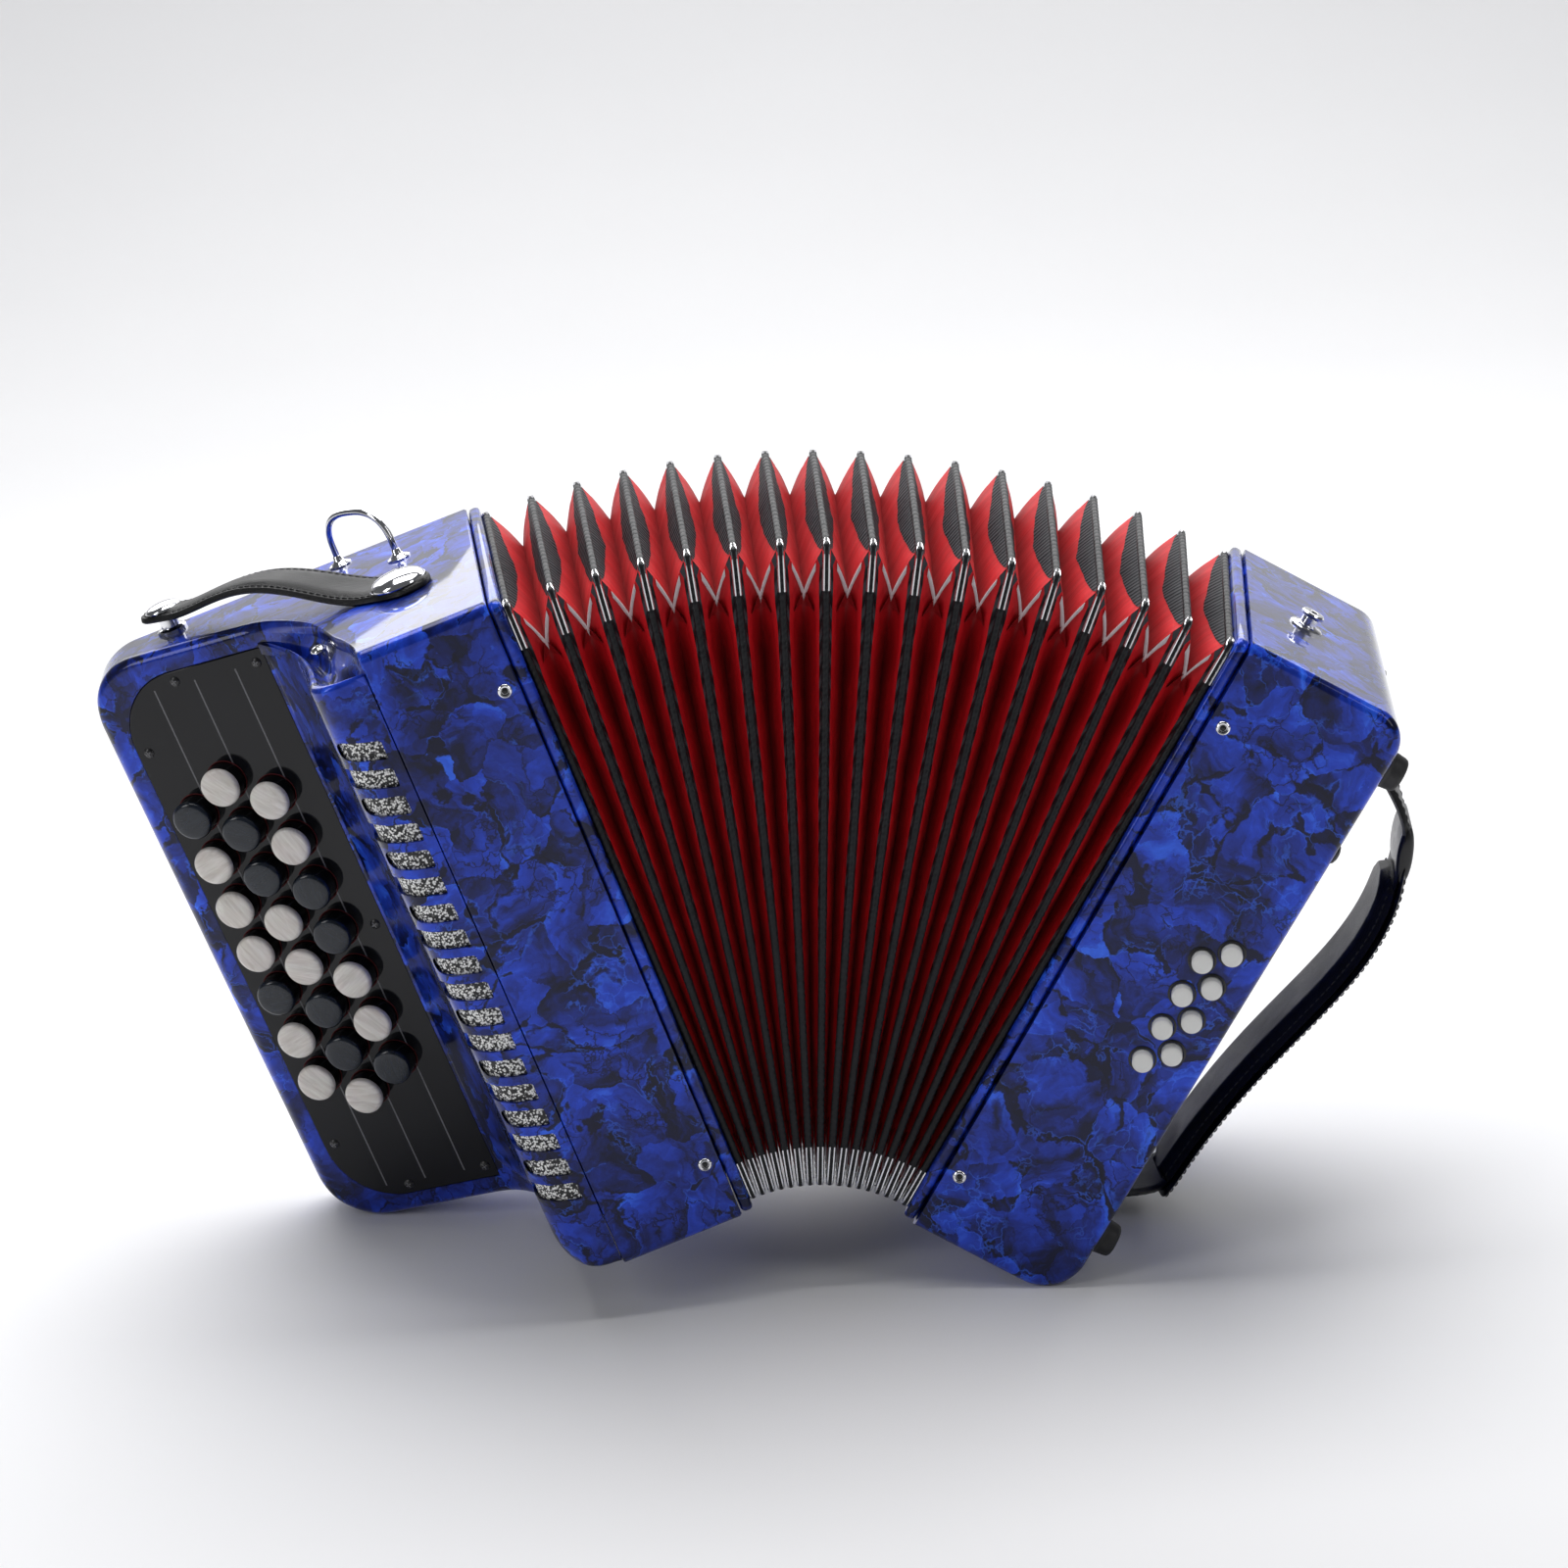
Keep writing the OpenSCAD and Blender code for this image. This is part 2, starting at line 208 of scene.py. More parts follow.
def waves(t, co, way, scale, distortion, **values):
    ins = {"Vector": co, "Scale": scale, "Distortion": distortion, "Detail": 1.0, **values}
    return N(t, "TexWave", ins, wave_type="BANDS", bands_direction=way).outputs["Fac"]


def material(name):
    m = bpy.data.materials.new(name)
    m.use_nodes = True
    t = m.node_tree
    t.nodes.clear()
    s = N(t, "BsdfPrincipled")
    N(t, "OutputMaterial", {"Surface": s.outputs[0]})
    co = N(t, "TexCoord").outputs["Object"]
    return m, t, s, co


def put(t, s, **values):
    for k, v in values.items():
        key = k.replace("_", " ")
        if isinstance(v, bpy.types.NodeSocket):
            t.links.new(v, s.inputs[key])
        else:
            s.inputs[key].default_value = (*v, 1) if isinstance(v, tuple) and len(v) == 3 and "Color" in key else v


def bump(t, s, height, strength, distance=0.0005):
    b = N(t, "Bump", {"Height": height, "Strength": strength, "Distance": distance})
    t.links.new(b.outputs[0], s.inputs["Normal"])


def pearl():
    """Blue celluloid: crumpled silky flakes, each shaded its own way, with inky blots, painted highlights beside them,
    and fine creases.
    """
    m, t, s, co = material("blue_pearl")
    flake_scale, light_blue = 46.0, (0.035, 0.16, 0.95)
    half = (0.5, 0.5, 0.5)
    drift = vec(t, "SUBTRACT", noise(t, co, 22, 1, out=1), half)
    fine = vec(t, "SUBTRACT", noise(t, co, 80, 4, 0.6, out=1), half)
    w = vec(t, "ADD", vec(t, "ADD", co, scaled(t, drift, 0.036)), scaled(t, fine, 0.012))

    def flakes(scale):
        cells = N(t, "TexVoronoi", {"Vector": w, "Scale": scale})
        turn = vec(t, "NORMALIZE", vec(t, "SUBTRACT", cells.outputs["Color"], half))
        off = scaled(t, vec(t, "SUBTRACT", w, cells.outputs["Position"]), scale)
        return turn, vec(t, "DOT_PRODUCT", off, turn, out=1), cells.outputs["Color"]

    turn, grade, tint = flakes(flake_scale)
    small = flakes(96.0)[1]
    cloud = noise(t, vec(t, "ADD", co, scaled(t, tint, 0.6)), 60, 3, 0.55, 1.6)
    silk = noise(t, vec(t, "ADD", scaled(t, turn, grade), scaled(t, w, 16.0)), 2.4, 4, 0.6, 0.8)
    shade = calc(t, "MULTIPLY_ADD", grade, 0.52, 0.42)
    shade = calc(t, "ADD", shade, times(t, small, 0.18))
    shade = calc(t, "ADD", shade, calc(t, "MULTIPLY_ADD", cloud, 0.5, -0.25))
    shade = calc(t, "ADD", shade, calc(t, "MULTIPLY_ADD", silk, 1.0, -0.5))
    blue = ramp(t, shade, (0.05, (0.002, 0.0045, 0.035)), (0.24, (0.0045, 0.013, 0.13)), (0.44, (0.009, 0.032, 0.33)),
                (0.68, (0.014, 0.058, 0.58)), (1.0, (0.04, 0.18, 1.0)))
    # creases follow the flakes' edges; they swell into blots and fade away
    near = ramp(t, to_edge(t, w, flake_scale), (0.0, 1.0), (0.09, 0.0))
    ink = calc(t, "MULTIPLY_ADD", near, 0.16, noise(t, w, 46, 3, 0.6, 0.9))
    dark = ramp(t, ink, (0.63, 0.0), (0.69, 0.95))
    # painted highlight: a pale rim beside the blots, as if light caught a ridge there
    rim = ramp(t, ink, (0.59, 0.0), (0.635, 1.0), (0.655, 0.0))
    glow = times(t, rim, ramp(t, noise(t, co, 50, 1), (0.48, 0.0), (0.60, 0.5)))
    blue = mix(t, glow, blue, light_blue)
    blue = mix(t, dark, blue, (0.0016, 0.0024, 0.018))
    # thin creases, some light and some dark
    crease = to_edge(t, vec(t, "ADD", w, scaled(t, fine, 0.010)), 2 * flake_scale)
    line = ramp(t, crease, (0.0, 1.0), (0.018, 0.9), (0.05, 0.0))
    pale_line = times(t, line, ramp(t, noise(t, co, 34, 1), (0.55, 0.0), (0.64, 0.45)))
    dark_line = times(t, line, ramp(t, noise(t, co, 31, 1), (0.43, 0.85), (0.49, 0.0)))
    blue = mix(t, pale_line, blue, light_blue)
    blue = mix(t, dark_line, blue, (0.0016, 0.003, 0.025))
    put(t, s, Base_Color=blue, Metallic=0.25, Roughness=0.36, Specular_IOR_Level=0.1,
        Coat_Weight=1.0, Coat_Roughness=0.02, Coat_IOR=1.34)
    bump(t, s, calc(t, "MULTIPLY_ADD", shade, 0.5, times(t, dark, -0.4)), 0.08, 0.0006)
    return m


def black_gloss():
    """Black board, glossy with faint smears."""
    m, t, s, co = material("black_board")
    c = mix(t, noise(t, co, 14, 4, 0.6), (0.003, 0.0032, 0.004), (0.009, 0.0095, 0.012))
    r = ramp(t, noise(t, co, 220, 3, 0.7), (0.35, 0.05), (0.75, 0.11))
    put(t, s, Base_Color=c, Roughness=r, IOR=1.37)
    return m


def button_face(name, low, high, glow):
    """Pearly cap: straight silky bands that lie differently on each cap."""
    m, t, s, co = material(name)
    seed = N(t, "ObjectInfo").outputs["Random"]
    spin = N(t, "VectorRotate", {"Vector": co, "Angle": times(t, seed, 6.28)}, rotation_type="Z_AXIS").outputs[0]
    shifted = vec(t, "ADD", spin, scaled(t, N(t, "CombineXYZ", {0: seed, 1: seed, 2: seed}).outputs[0], 3.1))
    bands = noise(t, mapped(t, shifted, Scale=(60, 420, 60)), 1.0, 4, 0.6, 0.7)
    tint = noise(t, shifted, 130, 2, 0.5, 0.5, out=1)
    c = mix(t, ramp(t, bands, (0.3, 0.0), (0.7, 1.0)), low, high)
    c = mix(t, glow, c, mix(t, 0.5, tint, (0.8, 0.8, 0.8)), "MULTIPLY")
    put(t, s, Base_Color=c, Roughness=0.25, Coat_Weight=0.7, Coat_Roughness=0.05, Coat_IOR=1.4, Specular_IOR_Level=0.2)
    return m


def plastic(name, color, rough, spread=0.25, scale=180.0, lift=0.05):
    m, t, s, co = material(name)
    n = noise(t, co, scale, 4, 0.6)
    c = mix(t, n, tuple(x * (1 - spread) for x in color), tuple(x * (1 + spread) for x in color))
    put(t, s, Base_Color=c, Roughness=ramp(t, n, (0.3, rough * 0.8), (0.7, rough * 1.2)), IOR=1.5)
    bump(t, s, n, lift, 0.0002)
    return m


def chrome():
    m, t, s, co = material("chrome")
    n = noise(t, co, 320, 3, 0.6)
    c = mix(t, n, (0.74, 0.75, 0.78), (0.88, 0.88, 0.90))
    put(t, s, Base_Color=c, Metallic=1.0, Roughness=ramp(t, n, (0.35, 0.05), (0.7, 0.13)))
    return m


def leather():
    m, t, s, co = material("black_leather")
    grain = to_edge(t, vec(t, "ADD", co, scaled(t, noise(t, co, 400, 2, out=1), 0.0012)), 900.0)
    folds = noise(t, co, 45, 4, 0.6, 0.6)
    c = mix(t, folds, (0.003, 0.003, 0.0035), (0.009, 0.009, 0.010))
    put(t, s, Base_Color=c, Roughness=ramp(t, folds, (0.3, 0.34), (0.7, 0.46)), Specular_IOR_Level=0.3)
    h = calc(t, "MULTIPLY_ADD", ramp(t, grain, (0.0, 0.0), (0.12, 1.0)), 0.35, times(t, folds, 1.3))
    bump(t, s, h, 0.35, 0.0006)
    return m


def red_cloth():
    """Satin-red cloth with soft upright creases, their light and shade painted into the colour, and painted shade that
    makes it darker in the depth of the folds.
    """
    m, t, s, co = material("bellows_red")
    wide = noise(t, co, 30, 3, 0.55, 0.4)
    crease = noise(t, mapped(t, co, Scale=(30, 160, 30)), 1.0, 4, 0.62, 0.5)
    weave = waves(t, co, "Z", 900.0, 2.0)
    depth = N(t, "Attribute", attribute_name="depth").outputs["Fac"]
    # painted light and shade: the creases show as lighter and darker red streaks
    c = mix(t, ramp(t, crease, (0.3, 0.0), (0.72, 1.0)), (0.50, 0.003, 0.009), (0.80, 0.010, 0.018))
    c = mix(t, ramp(t, wide, (0.4, 0.0), (0.75, 0.5)), c, (0.34, 0.002, 0.007))
    # painted shade: darker red towards the depth of the folds
    c = mix(t, ramp(t, depth, (0.3, 0.0), (1.0, 0.72)), c, (0.10, 0.001, 0.002))
    put(t, s, Base_Color=c, Roughness=0.55, Specular_IOR_Level=0.25,
        Sheen_Weight=0.15, Sheen_Roughness=0.35, Sheen_Tint=(1.0, 0.12, 0.12, 1))
    bump(t, s, calc(t, "MULTIPLY_ADD", weave, 0.10, calc(t, "ADD", wide, crease)), 0.4, 0.0010)
    return m


def tape(name, stripes):
    """Black ribbed tape; on the flanks it shows fine slanting cords."""
    m, t, s, co = material(name)
    n = noise(t, co, 150, 3, 0.6)
    slanting = mapped(t, co, Rotation=(math.radians(-28), 0, 0))
    wave = waves(t, slanting, "Y", 72.0, 0.35, **{"Detail Scale": 3.0})
    c = mix(t, n, (0.004, 0.004, 0.005), (0.014, 0.015, 0.018))
    if stripes:
        c = mix(t, ramp(t, wave, (0.35, 0.0), (0.70, 0.9)), c, (0.050, 0.052, 0.060))
    put(t, s, Base_Color=c, Roughness=0.55 if stripes else 0.4, Specular_IOR_Level=0.15 if stripes else 0.22)
    bump(t, s, calc(t, "ADD", n, times(t, wave, 1.0 if stripes else 0.0)), 0.8, 0.0009)
    return m


def lining():
    m, t, s, co = material("pale_lining")
    n = noise(t, co, 240, 4, 0.65)
    c = mix(t, n, (0.46, 0.36, 0.38), (0.78, 0.70, 0.72))
    put(t, s, Base_Color=c, Roughness=0.8)
    bump(t, s, n, 0.4, 0.0005)
    return m


def glitter():
    """Grille cloth: black ground with silver specks."""
    m, t, s, co = material("glitter_cloth")
    v = N(t, "TexVoronoi", {"Vector": co, "Scale": 1150.0, "Randomness": 1.0})
    pick = N(t, "SeparateColor", {"Color": v.outputs["Color"]}).outputs[0]
    speck = times(t, ramp(t, pick, (0.36, 0.0), (0.44, 1.0)), ramp(t, v.outputs["Distance"], (0.48, 1.0), (0.72, 0.0)))
    c = mix(t, speck, (0.012, 0.012, 0.013), (0.95, 0.95, 0.93))
    put(t, s, Base_Color=c, Roughness=0.4)
    bump(t, s, v.outputs["Distance"], 0.5, 0.0004)
    return m


def wood():
    m, t, s, co = material("wood")
    g = noise(t, mapped(t, co, Scale=(60, 60, 5)), 1.5, 5, 0.6, 1.2)
    c = mix(t, g, (0.30, 0.17, 0.08), (0.62, 0.43, 0.25))
    put(t, s, Base_Color=c, Roughness=0.6)
    bump(t, s, g, 0.2, 0.0004)
    return m


PEARL, BLACK, CHROME, LEATHER, RED = pearl(), black_gloss(), chrome(), leather(), red_cloth()
CAP_PALE = button_face("pearl_button", (0.60, 0.55, 0.50), (0.86, 0.83, 0.78), 0.16)
CAP_DARK = button_face("dark_button", (0.004, 0.007, 0.013), (0.012, 0.018, 0.028), 0.10)
BASS_WHITE = plastic("white_button", (0.80, 0.80, 0.78), 0.22, 0.06)
SIDE = plastic("button_side", (0.006, 0.006, 0.007), 0.16)
RUBBER = plastic("black_rubber", (0.010, 0.010, 0.011), 0.55, 0.3, 300, 0.2)
PLASTIC = plastic("black_plastic", (0.010, 0.010, 0.011), 0.32)
SCREW = plastic("black_screw", (0.012, 0.012, 0.013), 0.28)
FELT = plastic("red_felt", (0.10, 0.002, 0.003), 0.9, 0.4, 900, 0.6)
GROOVE = plastic("groove_line", (0.12, 0.12, 0.13), 0.35)
STITCH = plastic("black_thread", (0.020, 0.020, 0.022), 0.6, 0.4, 1200, 0.4)
TAPE, TAPE_SIDE = tape("black_tape", False), tape("corded_tape", True)
LINING, GLITTER, WOOD = lining(), glitter(), wood()


# ---- mesh helpers: vertices are given in millimetres in the frame m ----
def mesh_of(name, verts, faces):
    """A mesh from points in millimetres, its faces turned outwards."""
    me = bpy.data.meshes.new(name)
    me.from_pydata([(v[0] * MM, v[1] * MM, v[2] * MM) for v in verts], [], faces)
    b = bmesh.new()
    b.from_mesh(me)
    bmesh.ops.recalc_face_normals(b, faces=b.faces)
    b.to_mesh(me)
    b.free()
    return me


def smooth(me, sharp):
    """Smooth shading, with edges sharper than an angle kept."""
    me.polygons.foreach_set("use_smooth", [True] * len(me.polygons))
    me.set_sharp_from_angle(angle=math.radians(sharp))


def piece(name, verts, faces, m, mats, body, slot=None, index=None, sharp=38, stands_for=()):
    me = mesh_of(name, verts, faces)
    for x in mats if isinstance(mats, (list, tuple)) else [mats]:
        me.materials.append(x)
    if index is not None:
        me.polygons.foreach_set("material_index", index)
    smooth(me, sharp)
    return place(linked(name, me), m, body, stands_for)


def place(o, m, body, stands_for=()):
    m = m.copy()
    m.translation = m.translation * MM
    o.matrix_world = m
    if body:
        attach(o, body)
    if stands_for:
        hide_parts(*stands_for)
    return o


def loft(rows, around=True, caps=False):
    """Joins rows of points; each row closes on itself when around is set."""
    n = len(rows[0])
    verts = [p for r in rows for p in r]
    faces = []
    for i in range(len(rows) - 1):
        for j in range(n if around else n - 1):
            k = (j + 1) % n
            faces.append((i * n + j, i * n + k, (i + 1) * n + k, (i + 1) * n + j))
    if caps:
        faces.append(tuple(range(n)))
        faces.append(tuple((len(rows) - 1) * n + j for j in range(n)))
    return verts, faces


def joined(*parts):
    """Several (verts, faces) as one, with each face's number of the part that it comes from."""
    verts, faces, which = [], [], []
    for i, (v, f) in enumerate(parts):
        k = len(verts)
        verts += list(v)
        faces += [tuple(a + k for a in q) for q in f]
        which += [i] * len(f)
    return verts, faces, which


def spun(profile, n=40):
    """Turns (radius, height) points about z; ends on the axis are closed by fans of tiny radius."""
    rows = [[(r * cos(360 * j / n), r * sin(360 * j / n), z) for j in range(n)] for r, z in profile]
    v, f = loft(rows)
    if profile[0][0] < 0.2:
        f.append(tuple(range(n)))
    if profile[-1][0] < 0.2:
        f.append(tuple((len(rows) - 1) * n + j for j in range(n)))
    return v, f


def cylinder(centre, r, ends, way, step=10):
    """A cutter: a round bar along y or x through centre, given in the other two directions."""
    (a, b), (low, high) = centre, ends
    ring_ = [(a + r * cos(k), b + r * sin(k)) for k in range(0, 360, step)]
    turn = (lambda p, q, e: (p, e, q)) if way == "y" else (lambda p, q, e: (e, p, q))
    return loft([[turn(p, q, e) for p, q in ring_] for e in (low, high)], caps=True)


def dome(r, h, n=9):
    """Profile of a dome, for spun()."""
    return [(r * cos(90 * i / n) if i < n else 0.1, h * sin(90 * i / n)) for i in range(n + 1)]


def cross_recess(half, width, z0, z1, turns):
    """Two dark bars that show a screw's cross recess."""
    bar = [(x * half, y * width) for x, y in ((-1, -1), (1, -1), (1, 1), (-1, 1))]
    bars = loft([[(x, y, z) for x, y in bar] for z in (z0, z1)], caps=True)
    return [moved(bars, turned(a, "Z")) for a in turns]


def moved(part, m):
    return [tuple(m @ Vector(p)) for p in part[0]], part[1]


def tube(points, r, n=12, caps=True):
    pts = [Vector(p) for p in points]
    rows, up = [], None
    for i, p in enumerate(pts):
        d = (pts[min(i + 1, len(pts) - 1)] - pts[max(i - 1, 0)]).normalized()
        if up is None:
            up = d.orthogonal().normalized()
        up = (up - up.dot(d) * d).normalized()
        side = d.cross(up)
        rr = r(i / (len(pts) - 1)) if callable(r) else r
        rows.append([tuple(p + rr * (cos(360 * j / n) * up + sin(360 * j / n) * side)) for j in range(n)])
    return loft(rows, caps=caps)


def box_section(y0, y1, z0, z1, r, n=5):
    """A rectangle with rounded corners, as (y, z) points."""
    r = max(0.05, min(r, (y1 - y0) / 2 - 0.01, (z1 - z0) / 2 - 0.01))
    out = []
    for cy, cz, a in ((y0 + r, z0 + r, 180), (y1 - r, z0 + r, 270), (y1 - r, z1 - r, 0), (y0 + r, z1 - r, 90)):
        out += [(cy + r * cos(a + 90 * i / n), cz + r * sin(a + 90 * i / n)) for i in range(n + 1)]
    return out


def face_normals(o):
    """Keeps flat faces flat beside rounded edges."""
    mod = o.modifiers.new("flat", "WEIGHTED_NORMAL")
    mod.keep_sharp = True
    bake(o)


def bake(o):
    """Applies the modifiers."""
    bpy.context.view_layer.update()
    done = bpy.data.meshes.new_from_object(o.evaluated_get(bpy.context.evaluated_depsgraph_get()))
    o.modifiers.clear()
    o.data = done


def smooth_curve(points, n):
    """n points along a Catmull-Rom curve through the given ones."""
    p = [np.array(q, float) for q in points]
    p = [2 * p[0] - p[1]] + p + [2 * p[-1] - p[-2]]
    out = []
    for i in range(n):
        t = i / (n - 1) * (len(p) - 3)
        k = min(int(t), len(p) - 4)
        t -= k
        a, b, c, d = p[k : k + 4]
        out.append(0.5 * (2 * b + (c - a) * t + (2 * a - 5 * b + 4 * c - d) * t * t + (3 * b - a - 3 * c + d) * t ** 3))
    return out


# ---- treble casing ----
def plane_y(u):
    return PLANE_Y + (u - BOARD_U) * math.tan(math.radians(TILT))


# the hollow between the main box and the keyboard, as (u, y)
NECK = smooth_curve([(52.9, -79), (54.4, -70), (58, -57), (62, -46), (66, -31), (70, -18), (74.5, -8), (79.5, 1),
                     (86, 11), (93, 19.5), (100, plane_y(100) - 0.4), (107, plane_y(107))], 44)


def treble_body():
    front = [(u, -HALF) for u in (0, 0.3, 0.9, 12, 24, 36, 48, 51.2)]
    front += [(51.6 + 1.2 * sin(a), -HALF + 1.2 - 1.2 * cos(a)) for a in (15, 35, 55, 75, 90)]
    front += [tuple(p) for p in NECK]
    front += [(u, plane_y(u)) for u in (115, 125, 135, 145)]
    corner = BOARD_END - BOARD_R
    round_end = [corner + BOARD_R * sin(a) for a in range(0, 91, 3)]
    front += [(u, plane_y(u)) for u in round_end]
    rows, edge = [], 4.5
    for u, y in front:
        k = max(0.0, u - corner)
        z0 = BOARD_R - root(BOARD_R**2 - k**2)
        seam = max(0.0, 0.9 - u) * 0.7
        e = edge - root(edge**2 - max(0.0, u - BOARD_END + edge) ** 2) + seam
        rows.append([(-u, a, b) for a, b in box_section(y + e, HALF - e, z0 + seam, H - z0 - seam, 4.6, 6)])
    v, f = loft(rows, caps=True)
    o = piece("treble_body", v, f, TREBLE, PEARL, "treble", "blue_pearl", stands_for=("treble_casing",))
    cut(o, [moved(slab(board_outline(0.3), -13, 8), TREBLE.inverted() @ BOARD)])
    face_normals(o)


def cut(o, parts):
    """Takes closed shapes, given in the piece's own frame, away from it."""
    c = linked("cutter", mesh_of("cutter", *joined(*parts)[:2]))
    bpy.context.view_layer.update()
    c.matrix_world = o.matrix_world.copy()
    mod = o.modifiers.new("cut", "BOOLEAN")
    mod.operation, mod.object, mod.solver = "DIFFERENCE", c, "EXACT"
    bake(o)
    bpy.data.objects.remove(c)
    smooth(o.data, 38)


def board_outline(i):
    """The button board's outline in its own frame, as (distance along the plane, height), i outwards."""
    e, c = PLANE_LEN - 10.8, 30
    r = c + i
    out = [(0.6 - i, 10 - i)]
    out += [(e - c + r * cos(a), 10 + c + r * sin(a)) for a in range(-90, 1, 5)]
    out += [(e - c + r * cos(a), H - 10 - c + r * sin(a)) for a in range(0, 91, 5)]
    return out + [(0.6 - i, H - 10 + i)]


def slab(outline, y0, y1, edge=0.0):
    """A plate with this outline in x and z, from y0 to y1, its upper edge rounded."""
    c = np.mean(np.array(outline), axis=0)
    rows = [[(x, y0, z) for x, z in outline], [(x, y1 - edge, z) for x, z in outline]]
    if edge:
        for a in (30, 60, 90):
            inward = lambda q, mid: q + np.sign(mid - q) * edge * (1 - cos(a)) * min(1, abs(mid - q) / 5)
            rows.append([(inward(x, c[0]), y1 - edge + edge * sin(a), inward(z, c[1])) for x, z in outline])
    return loft(rows, caps=True)


def outline_at(i):
    """Points (u, y) along the grille cover from the main box to the keyboard, i inwards."""
    pts = [(MAIN + 0.05 + 10.95 * k / 6, -HALF + 0.35 + 0.15 * min(1, k / 2) + i) for k in range(6)]
    pts += [(MAIN + 11 + (12 - i) * sin(a), -HALF + 12.5 - (12 - i) * cos(a)) for a in range(0, 91, 6)]
    foot, rise = BOARD_U - MAIN - 23, PLANE_Y + HALF - 12.5
    pts += [(MAIN + 23 + foot * t**2.2 - i, -HALF + 12.5 + rise * t) for t in np.linspace(0.04, 1, 26)]
    return np.array(pts)


def along_path(pts, n):
    """n points spread evenly along a line of points."""
    pts = np.array(pts, float)
    d = np.concatenate([[0], np.cumsum(np.linalg.norm(np.diff(pts, axis=0), axis=1))])
    s = np.linspace(0, d[-1], n)
    return np.stack([np.interp(s, d, pts[:, k]) for k in range(pts.shape[1])], axis=1)


# heights of the grille cover's lower end and of its upper lip
COVER_LOW, LIP = 3.0, 277.0
SLOTS, SLOT_PITCH, SLOT_LOW, SLOT_SLANT = 18, 12.1, 40, 0.27


def narrowed(pts, w):
    """The cover's lower outer corner is rounded: its outline draws in there."""
    r = 20.0
    if w >= COVER_LOW + r:
        return pts
    end = BOARD_U - r + root(r * r - (r - (w - COVER_LOW)) ** 2)
    out = pts.copy()
    out[:, 0] = MAIN + (pts[:, 0] - MAIN) * (end - MAIN) / (BOARD_U - MAIN)
    return out


def grille_cover():
    n = 72
    outer, neck = along_path(outline_at(0), n), along_path(np.array([p for p in NECK if p[0] <= 98.5]), n)
    rows = []

    def row(w, share):
        """The cover's outline at height w, drawn a share of the way towards the neck."""
        pts = narrowed(outer, w)
        aim = narrowed(neck, w) if w < 60 else neck
        return [(-(a[0] + (b[0] - a[0]) * share), a[1] + (b[1] - a[1]) * share, w) for a, b in zip(pts, aim)]

    for a in (90, 65, 40, 20, 0):
        rows.append(row(COVER_LOW + 2.5 - 2.5 * sin(a), 0.13 * (1 - cos(a))))
    rows += [row(w, 0) for w in list(np.arange(8, 24, 2.5)) + list(np.arange(26, LIP - 4, 6.0)) + [LIP - 2.2]]
    # round lip, then the bowl that dips behind it and climbs the neck
    for a in (25, 50, 75, 90, 110, 130, 150):
        rows.append(row(LIP - 2.2 + 2.2 * sin(a), 0.12 * (1 - cos(a))))
    for q in np.linspace(0.0, 1, 15):
        dip, climb = 2.8 * sin(min(180, 300 * q)), 6.2 * max(0.0, q - 0.25) ** 1.6 / 0.63
        rows.append(row(LIP - 2.4 - dip + climb, 0.26 + 0.76 * q))
    v, f = loft(rows, around=False)
    o = piece("grille_shell", v, f, TREBLE, PEARL, "treble", "blue_pearl", sharp=50, stands_for=("grille_cover",))
    s = o.modifiers.new("wall", "SOLIDIFY")
    s.thickness, s.offset = 1.4 * MM, -1.0
    bake(o)
    slots = []
    for i in range(SLOTS):
        w, short = SLOT_LOW + i * SLOT_PITCH, (i % 2) * 2.6
        u0, u1, h = MAIN + 4.4, MAIN + 24.2 - short, 4.1
        outline = []
        for right, up, a in ((True, -1, -90), (True, 1, 0), (False, 1, 90), (False, -1, 180)):
            r = 3.2 if right else 1.2
            cu, cw = u1 - r if right else u0 + r, up * (h - r)
            outline += [(cu + r * cos(a + 90 * k / 4), cw + r * sin(a + 90 * k / 4)) for k in range(5)]
        slanting = [(u, w + c + (u - u0) * SLOT_SLANT) for u, c in outline]
        slots.append(loft([[(-u, y, c) for u, c in slanting] for y in (-HALF - 6, -HALF + 15)], caps=True))
    cut(o, slots)
    face_normals(o)
    # cloth behind the slots, in front of the casing
    inner = along_path(outline_at(1.55), 60)
    v, f = loft([[(-p[0], p[1], w) for p in inner] for w in np.linspace(24, 253, 30)], around=False)
    c = piece("grille_cloth_sheet", v, f, TREBLE, GLITTER, "treble", "glitter_cloth", sharp=180,
              stands_for=("grille_cloth",))


def fingerboard():
    o = piece("button_board", *slab(board_outline(0), BOARD_OUT - 3, BOARD_OUT, 0.5), BOARD, BLACK, "treble",
              "black_board", stands_for=("fingerboard",))
    cut(o, [cylinder(at, BUTTON_D / 2 + 0.4, (-6, 3), "y", step=8) for at in button_places()])
    face_normals(o)
    for n, s in enumerate((16.0, 36.0, 56.0)):
        heights = (16, 60, 120, 180, 230, 269)
        v, f = loft([[(s + e, BOARD_OUT + 0.03, w) for w in heights] for e in (-0.35, 0.35)], around=False)
        piece(f"board_groove_{n + 1}", v, f, BOARD, GROOVE, "treble", "black_board")
    # small black cross-head screws round the board
    places = [(5.5, 16), (5.5, 142), (5.5, 269), (45, 14.5), (45, 270.5), (71.5, 42), (71.5, 142), (71.5, 243)]
    for n, (s, w) in enumerate(places):
        head = spun([(0.1, 1.0), (1.0, 0.95), (1.9, 0.6), (2.3, 0.15), (2.3, 0.0)], 20)
        v, f, which = joined(head, *cross_recess(1.35, 0.22, 0.9, 1.08, (20, 110)))
        m = BOARD @ shift(s, BOARD_OUT, w) @ turned(-90, "X")
        piece(f"board_screw_{n + 1}", v, f, m, [SCREW, GROOVE], "treble", "black_plastic",
              index=[min(k, 1) for k in which])


